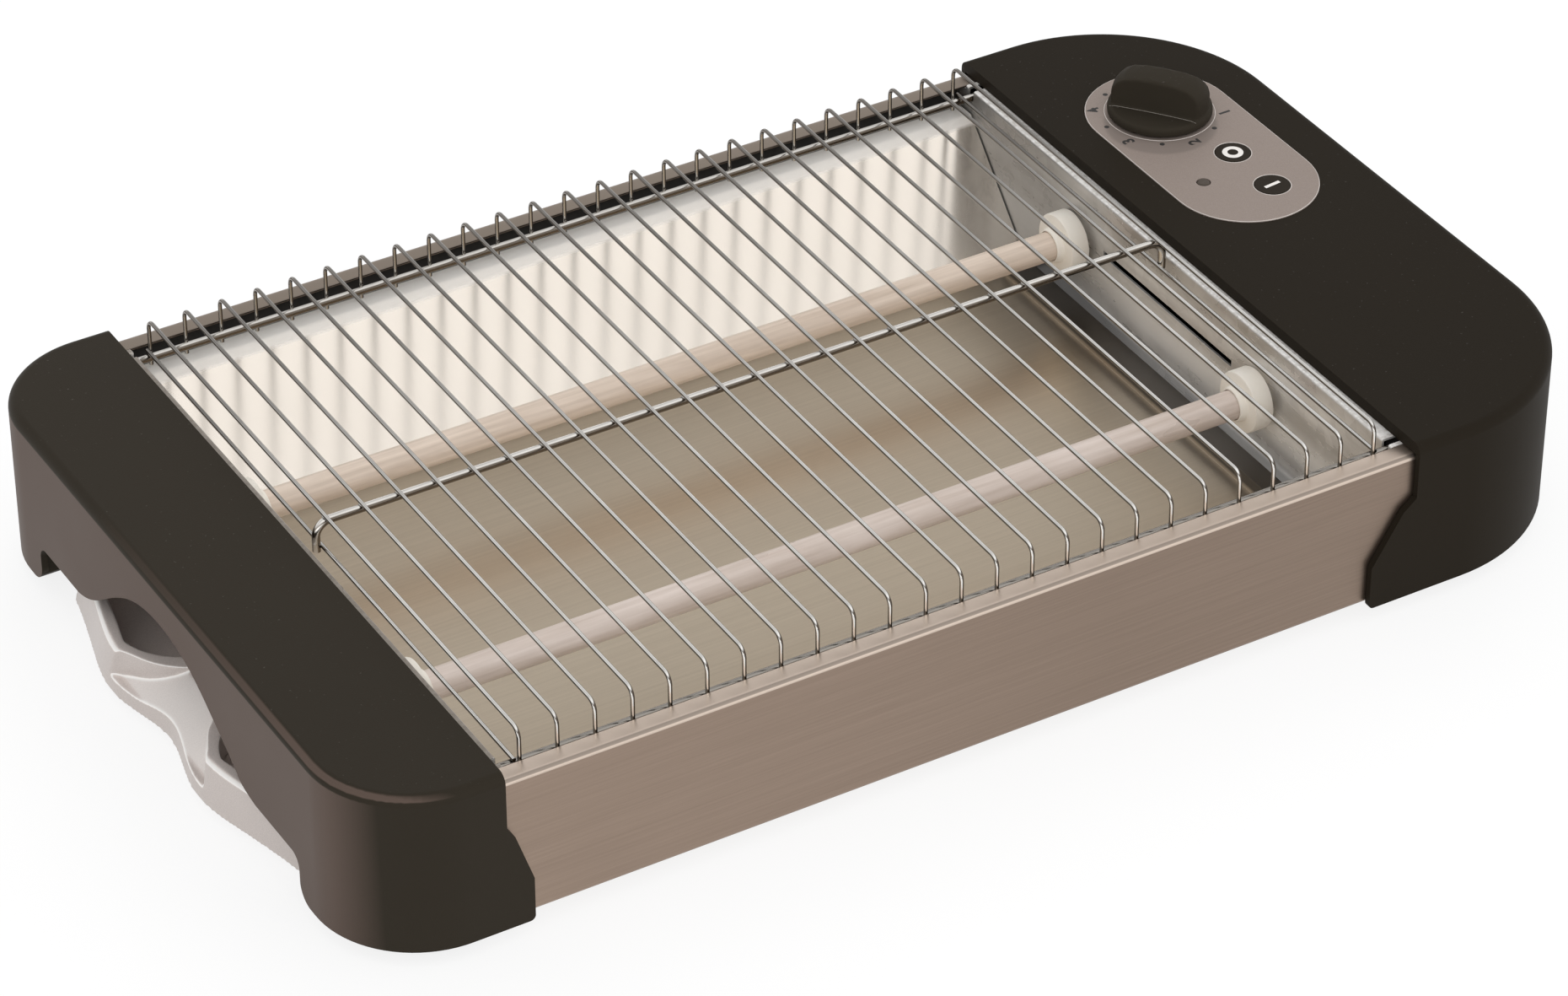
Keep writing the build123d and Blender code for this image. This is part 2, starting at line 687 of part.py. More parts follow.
def build_button(name, y):
    """A push button with its retaining flange and stem, over a small switch."""
    x = button_x
    flange_top = roof_under - button_play
    flange_bottom = flange_top - button_flange
    case_top = board_top + switch_case_height
    plunger_top = case_top + button_travel + plunger_reserve
    plunger_foot = board_top + switch_case_height - plunger_depth
    head = post(x, y, flange_bottom, plate_face_z + button_proud, button_diameter)
    head = chamfer(head.edges().group_by(Axis.Z)[-1], button_edge)
    head += small_post(x, y, flange_bottom, flange_top, button_flange_diameter)
    head += small_post(x, y, plunger_top, flange_bottom + button_play, button_stem_diameter)
    write_node(name + "_button", head)
    write_node(name + "_switch_plunger", small_post(x, y, plunger_foot, plunger_top, switch_plunger_diameter))
    half = switch_case / 2
    case = block(x - half, x + half, y - half, y + half, board_top, case_top)
    case -= small_post(x, y, plunger_foot - button_travel - button_play, case_top + 1,
                       switch_plunger_diameter + 2 * spindle_clearance)
    write_node(name + "_switch", case)


def build_electronics():
    """Control board with its relay and mains terminals, hung from the roof by four screws."""
    board = block(plate_x - board_width / 2, plate_x + board_width / 2,
                  plate_y - board_length / 2, plate_y + board_length / 2, board_level, board_top)
    screws = []
    for px, py in board_posts():
        board -= small_post(px, py, board_level - 1, board_top + 1, screw_diameter + 2 * hole_clearance)
        screws.append(pan_screw(px, py, board_level))
    write_node("control_board", board)
    write_node("board_screws", *screws)
    write_node("power_relay", block(plate_x - relay_width / 2, plate_x + relay_width / 2,
                                    plate_y - relay_length, plate_y, board_level - relay_height, board_level))
    outer_x = plate_x + board_width / 2 - terminal_block_inset
    low_z = board_level - terminal_block_height
    front_y = plate_y + terminal_block_offset
    terminals = block(outer_x - terminal_block_width, outer_x, front_y, front_y + terminal_block_length,
                      low_z, board_level)
    for i in range(terminal_count):
        hole_y = front_y + terminal_block_length * (i + 0.5) / terminal_count
        terminals -= small_rod(outer_x - terminal_hole_depth, outer_x + 1, hole_y,
                               (low_z + board_level) / 2, terminal_hole_diameter)
    write_node("mains_terminals", terminals)


def pan_screw(x, y, seat):
    """A pan-head screw that points up, with its head under the seat."""
    head = small_post(x, y, seat - screw_head_height, seat, screw_head_diameter)
    return head + small_post(x, y, seat, seat + screw_length, screw_diameter)


def build_base_cover():
    """Flat cover with vents that closes the control housing from below."""
    inset = moulding_wall + base_cover_gap
    face = end_plan(housing_length, end_width, housing_corner_radius, inset, 0)
    cover_top = skirt_bottom + base_cover_thickness
    cover = Pos(housing_inner, 0, skirt_bottom) * extrude(face, base_cover_thickness)
    start = housing_inner + plate_side_tab + 1.0
    cover -= block(housing_inner - 1, start, -half_end, half_end, 0, cover_top + 1)
    middle = (start + housing_outer) / 2
    for i in range(vent_count):
        y = (i - (vent_count - 1) / 2) * vent_step
        cover -= block(middle - vent_length / 2, middle + vent_length / 2, y - vent_width / 2, y + vent_width / 2,
                       skirt_bottom - 1, cover_top + 1)
    for side in (-1, 1):
        cover -= post(housing_outer - housing_foot_inset, side * housing_foot_y, 0, cover_top + 1,
                      foot_diameter + 2 * foot_clearance)
    screws = []
    for px, py in cover_screw_places():
        cover -= small_post(px, py, 0, cover_top + 1, screw_diameter + 2 * hole_clearance)
        screws.append(pan_screw(px, py, skirt_bottom))
    write_node("base_cover", cover)
    write_node("cover_screws", *screws)


def build_feet():
    """Rubber feet with a stud that pushes into a column of the moulding."""
    disc = post(0, 0, 0, foot_height, foot_diameter)
    disc = chamfer(disc.edges().group_by(Axis.Z)[0], foot_chamfer)
    foot = disc + small_post(0, 0, foot_height, foot_height + foot_stud_length, foot_stud_diameter)
    cap_x = cap_outer + cap_foot_inset
    housing_x = housing_outer - housing_foot_inset
    for name, x, y in (("left", cap_x, cap_foot_y), ("right", housing_x, housing_foot_y)):
        write_node(name + "_feet", Pos(x, -y, 0) * foot, Pos(x, y, 0) * foot)


def build_gland():
    """Flush bush in the housing wall, where the supply lead comes in."""
    wall_inside = housing_outer - moulding_wall
    inner_end = wall_inside - gland_flange - gland_tail
    bush = rod_along_x(inner_end, housing_outer, gland_y, gland_level, gland_diameter)
    bush += small_rod(wall_inside - gland_flange, wall_inside, gland_y, gland_level, gland_flange_diameter)
    bush -= small_rod(inner_end - 1, housing_outer + 1, gland_y, gland_level, gland_bore)
    write_node("cord_gland", bush)


def build_crumb_tray():
    """Sheet tray that slides on the panels' low flanges, with a step at its far end."""
    bottom = tray_floor - tray_sheet
    back = carrier_wall_x + carrier_wall + seat_gap
    far = rack_x + plate_face - tray_end_gap
    step = far - tray_step_length
    pan = block(back, step, -tray_half_width, tray_half_width, bottom, tray_floor)
    for side in (-1, 1):
        y0, y1 = sorted([side * (tray_half_width - tray_sheet), side * tray_half_width])
        pan += block(back, far, y0, y1, bottom, tray_rim)
    ledge = reflector_low_edge - tray_step_clearance
    pan += block(step - tray_sheet, step, -ledge, ledge, bottom, tray_step_height)
    pan += block(step - tray_sheet, far, -ledge, ledge, tray_step_height - tray_sheet, tray_step_height)
    for x, y in tray_screw_places():
        pan -= small_post(x, y, 0, tray_floor + 1, screw_diameter + 2 * hole_clearance)
    write_node("crumb_tray", pan)


def pull_outline(lean):
    """Plan of the pull, drawn in by a lean: two lobes with a scoop between them, straight at the back."""
    front = pull_front + lean
    tip = pull_half_width - lean * 0.4
    middle = pull_half_width * 0.68
    lobe_y = pull_half_width * 0.35
    edge = Spline((front + pull_sweep, -tip), (front + pull_sweep * pull_fullness, -middle), (front, -lobe_y),
                  (front + pull_scoop, 0), (front, lobe_y), (front + pull_sweep * pull_fullness, middle),
                  (front + pull_sweep, tip))
    return make_face([edge, Polyline(edge @ 1, (pull_back, tip), (pull_back, -tip), edge @ 0)])


def finger_pocket():
    """Plan of one finger pocket in the pull, on the rear side of the waist."""
    back = pull_back + 2
    end_y = pull_half_width - pocket_end_wall
    rim = pull_front + pull_lean + pocket_rim
    end_x = pull_front + pull_sweep + pocket_rim
    corner = (rim, pull_half_width * 0.435)
    outer = Spline((end_x, end_y), (rim + pull_sweep * pull_fullness, pull_half_width * 0.67), corner)
    waist = Spline(corner, (pull_front + pull_depth * 0.37, pocket_outer_waist),
                   (pull_front + pull_depth * 0.57, pocket_inner_waist), (back, pocket_back_waist))
    rest = Polyline((back, pocket_back_waist), (back, end_y), (end_x, end_y))
    pocket = make_face([outer, waist, rest])
    return fillet(pocket.vertices().filter_by(lambda v: v.X < back - 1), pocket_corner_radius)


def waist_dish():
    """The hollow across the waist of the pull, low at its outer edge and wide at both ends."""
    start = pull_front - 3
    back = pull_back + 2
    side = Spline((start, dish_front_half + 3.5), (pull_front + pull_depth * 0.13, dish_front_half),
                  (pull_front + pull_depth * 0.28, (dish_front_half + dish_middle_half) / 2),
                  (pull_front + pull_depth * 0.51, dish_middle_half), (back, dish_back_half))
    other = mirror(side, about=Plane.XZ)
    plan = make_face([side, other, Line(side @ 0, other @ 0), Line(side @ 1, other @ 1)])
    slope = make_face(Plane.XZ * Polyline((start, dish_low), (pull_front + 3, dish_low),
                                          (pull_front + 3 + dish_run, dish_high), (back, dish_high),
                                          (back, 2 * pull_rim_top), (start, 2 * pull_rim_top), close=True))
    return extrude(slope, half_end, both=True) & extrude(plan, 2 * pull_rim_top)


def build_tray_pull():
    """Silver pull with two finger pockets and a dished waist."""
    pull = loft([Pos(0, 0, pull_bottom) * pull_outline(0), Pos(0, 0, pull_rim_top) * pull_outline(pull_lean)])
    curved = pull.edges().group_by(Axis.Z)[-1].filter_by(GeomType.BSPLINE)
    pull = chamfer(curved, pull_rim_chamfer)
    well = extrude(finger_pocket(), 2 * pull_rim_top)
    pull = pull - well - mirror(well, about=Plane.XZ)
    pull = pull - waist_dish()
    recess = pull_outline(carrier_wall)
    recess = Pos(0, 0, pull_bottom - 1) * extrude(recess, carrier_floor_top - pull_bottom + 1 + seat_gap)
    write_node("tray_pull", pull - recess)


def build_tray_carrier():
    """Dark moulding behind the pull: a floor under the pockets and a wall that closes the arch."""
    face = pull_outline(carrier_wall + seat_gap)
    floor = Pos(0, 0, carrier_floor_bottom) * extrude(face, carrier_floor_top - carrier_floor_bottom)
    tip = pull_half_width - carrier_wall
    tail = carrier_wall_x + carrier_wall + carrier_tail
    floor += block(carrier_wall_x - 1, tail, -tip, tip, carrier_floor_bottom, carrier_floor_top)
    arch = Plane.YZ * arch_face(carrier_clearance)
    wall = Pos(carrier_wall_x, 0, 0) * extrude(arch, carrier_wall)
    wall -= block(carrier_wall_x - 1, tail, -half_end, half_end, -1, tray_floor - tray_sheet)
    bridge = block(carrier_wall_x, carrier_wall_x + carrier_wall, -tip, tip, carrier_floor_top, tray_floor)
    carrier = floor + bridge + wall
    for x, y in tray_screw_places():
        carrier -= small_post(x, y, 0, carrier_floor_top + 1, screw_diameter + 2 * hole_clearance)
    write_node("tray_carrier", carrier)


def tray_screw_places():
    """Where the screws that join the tray's sheet to its carrier stand."""
    x = carrier_wall_x + carrier_wall + carrier_tail / 2
    return [(x, -tray_screw_spacing), (x, 0.0), (x, tray_screw_spacing)]


def build_tray_screws():
    screws = []
    for x, y in tray_screw_places():
        head = small_post(x, y, carrier_floor_bottom - tray_screw_head, carrier_floor_bottom, screw_head_diameter)
        screws.append(head + small_post(x, y, carrier_floor_bottom, tray_floor + tray_screw_end, screw_diameter))
    write_node("tray_screws", *screws)


def heater_lead(side):
    """An insulated lead from a right-hand terminal pin to the relay."""
    start = rack_x + plate_face + holder_neck_length + terminal_length
    relay_side = plate_x - relay_width / 2
    relay_y = plate_y - relay_length / 2 + side * relay_length / 4
    relay_z = board_level - relay_height / 2
    bend_x = start + lead_bend_radius + 1.0
    return bent_wire([(start, side * heater_y, heater_level), (bend_x, side * heater_y, heater_level),
                      (bend_x, relay_y, relay_z), (relay_side, relay_y, relay_z)],
                     lead_bend_radius, lead_diameter)


def build_leads():
    write_node("heater_leads", heater_lead(-1), heater_lead(1))
    link_x = rack_x - plate_face - holder_neck_length - link_thickness
    half = heater_y + link_width / 2
    link = block(link_x - link_thickness, link_x, -half, half,
                 heater_level - link_width / 2, heater_level + link_width / 2)
    for side in (-1, 1):
        link -= small_rod(link_x - 2 * link_thickness, link_x + 1, side * heater_y, heater_level,
                          terminal_diameter + 2 * tube_clearance)
    write_node("heater_link", link)


build_wire_rack()
build_side_panels()
build_reflectors()
build_end_plates()
build_heaters()
build_left_cap()
build_housing()
build_control_plate()
build_knob()
build_button("stop", stop_button_y)
build_button("start", start_button_y)
build_electronics()
build_base_cover()
build_feet()
build_gland()
build_crumb_tray()
build_tray_pull()
build_tray_carrier()
build_tray_screws()
build_leads()
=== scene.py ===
import math

import bmesh
import bpy
from mathutils import Matrix, Vector


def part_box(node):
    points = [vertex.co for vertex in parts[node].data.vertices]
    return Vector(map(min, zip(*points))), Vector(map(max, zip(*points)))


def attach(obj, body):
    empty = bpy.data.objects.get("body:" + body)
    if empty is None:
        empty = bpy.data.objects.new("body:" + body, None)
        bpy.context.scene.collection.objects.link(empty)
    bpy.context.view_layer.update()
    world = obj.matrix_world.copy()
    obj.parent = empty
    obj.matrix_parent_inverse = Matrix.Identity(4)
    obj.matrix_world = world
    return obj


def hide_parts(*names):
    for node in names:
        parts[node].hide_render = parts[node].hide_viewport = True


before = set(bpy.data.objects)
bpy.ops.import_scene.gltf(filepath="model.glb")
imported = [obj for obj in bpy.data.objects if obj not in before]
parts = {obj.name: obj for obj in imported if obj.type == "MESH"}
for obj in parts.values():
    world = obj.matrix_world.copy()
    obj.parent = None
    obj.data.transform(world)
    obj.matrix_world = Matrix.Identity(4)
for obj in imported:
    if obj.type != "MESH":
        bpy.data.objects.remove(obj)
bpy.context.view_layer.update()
mm = 0.001
print("frame loaded:", len(parts), "nodes")


# Camera, fitted to the photograph

cameraView = {"place": (-0.68089, -1.14480, 0.96630), "azimuth": -30.611, "elevation": 35.625, "lens": 134.19,
              "sensor": 36.0, "nearest": 0.05, "farthest": 60.0}


def linkNew(name, data):
    piece = bpy.data.objects.new(name, data)
    bpy.context.scene.collection.objects.link(piece)
    return piece


def aim(piece, direction):
    piece.rotation_mode = "QUATERNION"
    piece.rotation_quaternion = direction.to_track_quat("-Z", "Y")


def makeCamera():
    data = bpy.data.cameras.new("photoCamera")
    data.lens = cameraView["lens"]
    data.sensor_width = cameraView["sensor"]
    data.clip_start = cameraView["nearest"]
    data.clip_end = cameraView["farthest"]
    camera = linkNew("photoCamera", data)
    around = math.radians(cameraView["azimuth"])
    above = math.radians(cameraView["elevation"])
    back = Vector((math.sin(around) * math.cos(above), -math.cos(around) * math.cos(above), math.sin(above)))
    camera.location = cameraView["place"]
    aim(camera, -back)
    bpy.context.scene.camera = camera


makeCamera()


# Node helpers

def freshMaterial(name):
    material = bpy.data.materials.new(name)
    material.use_nodes = True
    tree = material.node_tree
    tree.nodes.clear()
    output = tree.nodes.new("ShaderNodeOutputMaterial")
    shader = tree.nodes.new("ShaderNodeBsdfPrincipled")
    tree.links.new(shader.outputs["BSDF"], output.inputs["Surface"])
    return material, tree, shader


def newGroup(name, inputs, outputs):
    group = bpy.data.node_groups.new(name, "ShaderNodeTree")
    for label, value in inputs.items():
        socket = group.interface.new_socket(name=label, in_out="INPUT", socket_type="NodeSocketFloat")
        socket.default_value = value
    for label in outputs:
        group.interface.new_socket(name=label, in_out="OUTPUT", socket_type="NodeSocketFloat")
    return group, group.nodes.new("NodeGroupInput"), group.nodes.new("NodeGroupOutput")


def feed(shader, label, value):
    shader.id_data.links.new(value, shader.inputs[label])


def placeGroup(tree, group, **values):
    node = tree.nodes.new("ShaderNodeGroup")
    node.node_tree = group
    for label, value in values.items():
        node.inputs[label].default_value = value
    return node


def mathNode(tree, operation, first, second=None, clamp=False):
    node = tree.nodes.new("ShaderNodeMath")
    node.operation = operation
    node.use_clamp = clamp
    for socket, value in zip(node.inputs, (first, second)):
        if isinstance(value, (int, float)):
            socket.default_value = value
        elif value is not None:
            tree.links.new(value, socket)
    return node.outputs[0]


def product(tree, first, second):
    return mathNode(tree, "MULTIPLY", first, second)


def larger(tree, first, second):
    return mathNode(tree, "MAXIMUM", first, second)


def inverse(tree, value):
    return mathNode(tree, "SUBTRACT", 1.0, value)


def blend(tree, first, firstShare, second, secondShare):
    return mathNode(tree, "ADD", product(tree, first, firstShare), product(tree, second, secondShare))


def vectorNode(tree, operation, first, second):
    node = tree.nodes.new("ShaderNodeVectorMath")
    node.operation = operation
    tree.links.new(first, node.inputs[0])
    node.inputs[1].default_value = second
    return node.outputs


def mapRange(tree, value, fromLow, fromHigh, toLow=0.0, toHigh=1.0):
    node = tree.nodes.new("ShaderNodeMapRange")
    tree.links.new(value, node.inputs["Value"])
    node.inputs["From Min"].default_value = fromLow
    node.inputs["From Max"].default_value = fromHigh
    node.inputs["To Min"].default_value = toLow
    node.inputs["To Max"].default_value = toHigh
    return node.outputs["Result"]


def mixColour(tree, factor, first, second):
    node = tree.nodes.new("ShaderNodeMix")
    node.data_type = "RGBA"
    tree.links.new(factor, node.inputs["Factor"])
    for socket, value in ((node.inputs[6], first), (node.inputs[7], second)):
        if isinstance(value, tuple):
            socket.default_value = value + (1.0,)
        else:
            tree.links.new(value, socket)
    return node.outputs[2]


def mixNormal(tree, factor, normal, fixed):
    node = tree.nodes.new("ShaderNodeMix")
    node.data_type = "VECTOR"
    tree.links.new(factor, node.inputs["Factor"])
    tree.links.new(normal, node.inputs[4])
    node.inputs[5].default_value = fixed
    return node.outputs[1]


def scaled(colour, share):
    return tuple(channel * share for channel in colour)


def bumpNode(tree, height, strength, distance):
    node = tree.nodes.new("ShaderNodeBump")
    node.inputs["Strength"].default_value = strength
    node.inputs["Distance"].default_value = distance
    tree.links.new(height, node.inputs["Height"])
    return node.outputs["Normal"]


def objectPlace(tree):
    return tree.nodes.new("ShaderNodeTexCoord").outputs["Object"]


def surfaceNormal(tree):
    return tree.nodes.new("ShaderNodeNewGeometry").outputs["Normal"]


def splitAxes(tree, vector):
    node = tree.nodes.new("ShaderNodeSeparateXYZ")
    tree.links.new(vector, node.inputs["Vector"])
    return node.outputs


def noiseNode(tree, scale, detail, coordinate, stretch=None):
    if stretch is not None:
        mapping = tree.nodes.new("ShaderNodeMapping")
        mapping.inputs["Scale"].default_value = stretch
        tree.links.new(coordinate, mapping.inputs["Vector"])
        coordinate = mapping.outputs["Vector"]
    node = tree.nodes.new("ShaderNodeTexNoise")
    node.inputs["Detail"].default_value = detail
    if isinstance(scale, (int, float)):
        node.inputs["Scale"].default_value = scale
    else:
        tree.links.new(scale, node.inputs["Scale"])
    tree.links.new(coordinate, node.inputs["Vector"])
    return node.outputs["Fac"]


# Masks by the way a face turns, and by its place on the object

def facing(tree, axis, low, high):
    return mapRange(tree, splitAxes(tree, surfaceNormal(tree))[axis], low, high)


def upFacing(tree, low, high):
    return facing(tree, "Z", low, high)


def leaning(tree, direction, low, high, bothWays=False):
    amount = vectorNode(tree, "DOT_PRODUCT", surfaceNormal(tree), direction)["Value"]
    if bothWays:
        amount = mathNode(tree, "ABSOLUTE", amount)
    return mapRange(tree, amount, low, high)


def alongAxis(tree, axis, low, high, lowValue=0.0, highValue=1.0):
    return mapRange(tree, splitAxes(tree, objectPlace(tree))[axis], low, high, lowValue, highValue)


# Shared surface effects

grainLook = {"scale": 2600.0, "fineDetail": 2.0, "cloudScale": 14.0, "cloudDetail": 3.0}


def makeGrainGroup():
    group, start, end = newGroup("mouldGrain", {"Scale": grainLook["scale"]}, ("Height", "Cloud"))
    where = objectPlace(group)
    fine = noiseNode(group, start.outputs["Scale"], grainLook["fineDetail"], where)
    cloud = noiseNode(group, grainLook["cloudScale"], grainLook["cloudDetail"], where)
    group.links.new(fine, end.inputs["Height"])
    group.links.new(cloud, end.inputs["Cloud"])
    return group


brushLook = {"longDetail": 3.0, "longStretch": (9.0, 1500.0, 1500.0), "longShare": 0.6,
             "shortDetail": 2.0, "shortStretch": (60.0, 4200.0, 4200.0), "shortShare": 0.4,
             "cloudScale": 9.0, "cloudDetail": 4.0, "cloudStretch": (1.0, 1.0, 2.0)}


def makeBrushGroup():
    look = brushLook
    group, start, end = newGroup("brushedLines", {"Fineness": 1.0}, ("Lines", "Cloud"))
    where = objectPlace(group)
    fineness = start.outputs["Fineness"]
    long = noiseNode(group, fineness, look["longDetail"], where, look["longStretch"])
    short = noiseNode(group, fineness, look["shortDetail"], where, look["shortStretch"])
    cloud = noiseNode(group, look["cloudScale"], look["cloudDetail"], where, look["cloudStretch"])
    group.links.new(blend(group, long, look["longShare"], short, look["shortShare"]), end.inputs["Lines"])
    group.links.new(cloud, end.inputs["Cloud"])
    return group


spangleLook = {"scale": 260.0, "streakScale": 60.0, "streakDetail": 5.0, "streakStretch": (1.0, 0.25, 1.4)}


def makeSpangleGroup():
    look = spangleLook
    group, start, end = newGroup("zincSpangle", {"Scale": look["scale"]}, ("Flakes", "Streaks"))
    where = objectPlace(group)
    cells = group.nodes.new("ShaderNodeTexVoronoi")
    group.links.new(where, cells.inputs["Vector"])
    group.links.new(start.outputs["Scale"], cells.inputs["Scale"])
    split = group.nodes.new("ShaderNodeSeparateColor")
    group.links.new(cells.outputs["Color"], split.inputs["Color"])
    streaks = noiseNode(group, look["streakScale"], look["streakDetail"], where, look["streakStretch"])
    group.links.new(split.outputs["Red"], end.inputs["Flakes"])
    group.links.new(streaks, end.inputs["Streaks"])
    return group


dustLook = {"amount": 0.2, "level": (0.5, 1.0), "speckScale": 900.0, "speckDetail": 1.0, "specks": (0.72, 0.80)}


def makeDustGroup():
    group, start, end = newGroup("dustFall", {"Amount": dustLook["amount"]}, ("Dust",))
    specks = noiseNode(group, dustLook["speckScale"], dustLook["speckDetail"], objectPlace(group))
    fallen = product(group, upFacing(group, *dustLook["level"]), mapRange(group, specks, *dustLook["specks"]))
    dust = mathNode(group, "MULTIPLY", fallen, start.outputs["Amount"], clamp=True)
    group.links.new(dust, end.inputs["Dust"])
    return group


# Painted sheen: the cap's colour is lighter on its left wall, and on the rounded rim above that wall, where the light
# falls
paintedSheenLook = {"outward": (-0.35, -0.08), "frontToRear": (-0.085, 0.040), "rimTop": (0.90, 0.975),
             "rimFoot": (0.50, 0.60), "upright": (0.03, 0.16), "leftward": (-0.97, -0.70)}


def makePaintedSheenGroup():
    look = paintedSheenLook
    group, start, end = newGroup("paintedSideSheen", {}, ("Sheen",))
    normal = splitAxes(group, surfaceNormal(group))
    outward = mapRange(group, normal["X"], *look["outward"], 1.0, 0.0)
    outward = product(group, outward, alongAxis(group, "Y", *look["frontToRear"], 1.0, 0.0))
    rim = product(group, mapRange(group, normal["Z"], *look["rimTop"], 1.0, 0.0),
                  mapRange(group, normal["Z"], *look["rimFoot"]))
    wall = product(group, mapRange(group, normal["Z"], *look["upright"], 1.0, 0.0),
                   mapRange(group, normal["X"], *look["leftward"], 1.0, 0.0))
    group.links.new(larger(group, product(group, rim, outward), wall), end.inputs["Sheen"])
    return group


grainGroup = makeGrainGroup()
paintedSheenGroup = makePaintedSheenGroup()
brushGroup = makeBrushGroup()
spangleGroup = makeSpangleGroup()
dustGroup = makeDustGroup()
print("surface effects built")


# Material makers; places along the axes are in metres

cloudRange = (0.3, 0.7)


def cloudyRoughness(tree, shader, cloud, roughness, look):
    low, high = roughness - look["smoother"], roughness + look["rougher"]
    feed(shader, "Roughness", mapRange(tree, cloud, *cloudRange, low, high))


plasticLook = {"tint": (1.0, 0.89, 0.76), "dustAmount": 0.12, "dustColour": (0.30, 0.28, 0.26),
               "smoother": 0.04, "rougher": 0.05, "grainHeight": 0.0001}


def mouldedPlastic(name, dark, light, roughness, grainScale, grainDepth, gloss=0.15, side=None):
    look = plasticLook
    material, tree, shader = freshMaterial(name)
    shader.inputs["Specular IOR Level"].default_value = gloss
    shader.inputs["Specular Tint"].default_value = (*look["tint"], 1.0)
    grain = placeGroup(tree, grainGroup, Scale=grainScale)
    dust = placeGroup(tree, dustGroup, Amount=look["dustAmount"])
    tone = mixColour(tree, grain.outputs["Cloud"], dark, light)
    # the side colour is mixed in as painted sheen on the left wall and its rim
    if side is not None:
        tone = mixColour(tree, placeGroup(tree, paintedSheenGroup).outputs["Sheen"], tone, side)
    tone = mixColour(tree, dust.outputs["Dust"], tone, look["dustColour"])
    feed(shader, "Base Color", tone)
    cloudyRoughness(tree, shader, grain.outputs["Cloud"], roughness, look)
    feed(shader, "Normal", bumpNode(tree, grain.outputs["Height"], grainDepth, look["grainHeight"]))
    return material


brushedLook = {"lines": (0.30, 0.70), "rightShadeX": (-0.145, 0.030), "rightShadeShare": 0.80,
               "foldTurn": (0.10, 0.22), "foldShare": 0.82, "lipTurn": (0.50, 0.62), "lipShare": 0.45,
               "topTurn": (0.90, 0.97), "innerTurn": (-0.60, -0.80), "smoother": 0.05, "rougher": 0.06,
               "lineHeight": 0.00005}
# painted shade at the tray's far end and on its step
trayEndShade = {"fadeLength": 0.022, "fadeShare": 0.5, "endShadeColour": (0.42, 0.395, 0.365), "wallStart": 0.002,
           "wallEnd": 0.001, "rise": 0.001}


def brushedMetal(name, dark, light, roughness, fineness, depth, paintedFlangeShading=None, inner=None, step=None):
    look = brushedLook
    material, tree, shader = freshMaterial(name)
    shader.inputs["Metallic"].default_value = 1.0
    brush = placeGroup(tree, brushGroup, Fineness=fineness)
    lines = mapRange(tree, brush.outputs["Lines"], *look["lines"])
    tone = mixColour(tree, lines, dark, light)
    if paintedFlangeShading is not None:  # painted shade, darker to the right where the light falls off; painted light on the folded edge: a light bend, a dark line and a lit top
        rightShaded = mixColour(tree, lines, scaled(dark, look["rightShadeShare"]), scaled(light, look["rightShadeShare"]))
        tone = mixColour(tree, alongAxis(tree, "X", *look["rightShadeX"]), tone, rightShaded)
        tone = mixColour(tree, upFacing(tree, *look["foldTurn"]), tone, scaled(paintedFlangeShading, look["foldShare"]))
        tone = mixColour(tree, upFacing(tree, *look["lipTurn"]), tone, scaled(paintedFlangeShading, look["lipShare"]))
        tone = mixColour(tree, upFacing(tree, *look["topTurn"]), tone, paintedFlangeShading)
    # painted shade on faces turned to the front, inside the rear panel
    if inner is not None:
        tone = mixColour(tree, facing(tree, "Y", *look["innerTurn"]), tone, inner)
    if step is not None:  # painted shade: darker towards the tray's far end, by the end plate, and on the wall of its step
        far, level = step["x"], step["level"]
        endShade = alongAxis(tree, "X", far - trayEndShade["fadeLength"], far, 0.0, trayEndShade["fadeShare"])
        tone = mixColour(tree, endShade, tone, trayEndShade["endShadeColour"])
        wall = product(tree, alongAxis(tree, "X", far - trayEndShade["wallStart"], far - trayEndShade["wallEnd"]),
                       alongAxis(tree, "Z", level, level + trayEndShade["rise"]))
        tone = mixColour(tree, wall, tone, step["colour"])
    feed(shader, "Base Color", tone)
    cloudyRoughness(tree, shader, brush.outputs["Cloud"], roughness, look)
    feed(shader, "Normal", bumpNode(tree, brush.outputs["Lines"], depth, look["lineHeight"]))
    return material


reflectorLook = {"cloudScale": 30.0, "cloudDetail": 3.0, "cloudShare": 0.93, "waveScale": 18.0, "waveDetail": 1.0,
                 "waveStrength": 0.04, "waveHeight": 0.001, "shelfRoughness": 0.55, "frontShelf": (0.0408, 0.0418),
                 "rearShelf": (0.0400, 0.0410), "rearShelfColour": (1.0, 0.96, 0.90), "rearStrip": (0.1108, 0.1113)}


def reflectorSheet(name, colour, roughness, shelf, slopeNormal=None):
    look = reflectorLook
    material, tree, shader = freshMaterial(name)
    where = objectPlace(tree)
    cloud = noiseNode(tree, look["cloudScale"], look["cloudDetail"], where)
    bright = mixColour(tree, cloud, scaled(colour, look["cloudShare"]), colour)
    wave = noiseNode(tree, look["waveScale"], look["waveDetail"], where)
    bent = bumpNode(tree, wave, look["waveStrength"], look["waveHeight"])
    if slopeNormal is None:  # the shelf at the top is dull
        dull = alongAxis(tree, "Z", *look["frontShelf"])
        feed(shader, "Metallic", inverse(tree, dull))
    else:  # painted light and shade: the shelf gets the slope's normal and a matte white to look lit as the slope is, and a painted dark strip behind the rod
        dull = alongAxis(tree, "Y", *look["rearStrip"])
        level = alongAxis(tree, "Z", *look["rearShelf"])
        bent = mixNormal(tree, level, bent, slopeNormal)
        feed(shader, "Metallic", inverse(tree, level))
        bright = mixColour(tree, level, bright, look["rearShelfColour"])
    feed(shader, "Base Color", mixColour(tree, dull, bright, shelf))
    feed(shader, "Roughness", mapRange(tree, dull, 0.0, 1.0, roughness, look["shelfRoughness"]))
    feed(shader, "Normal", bent)
    return material


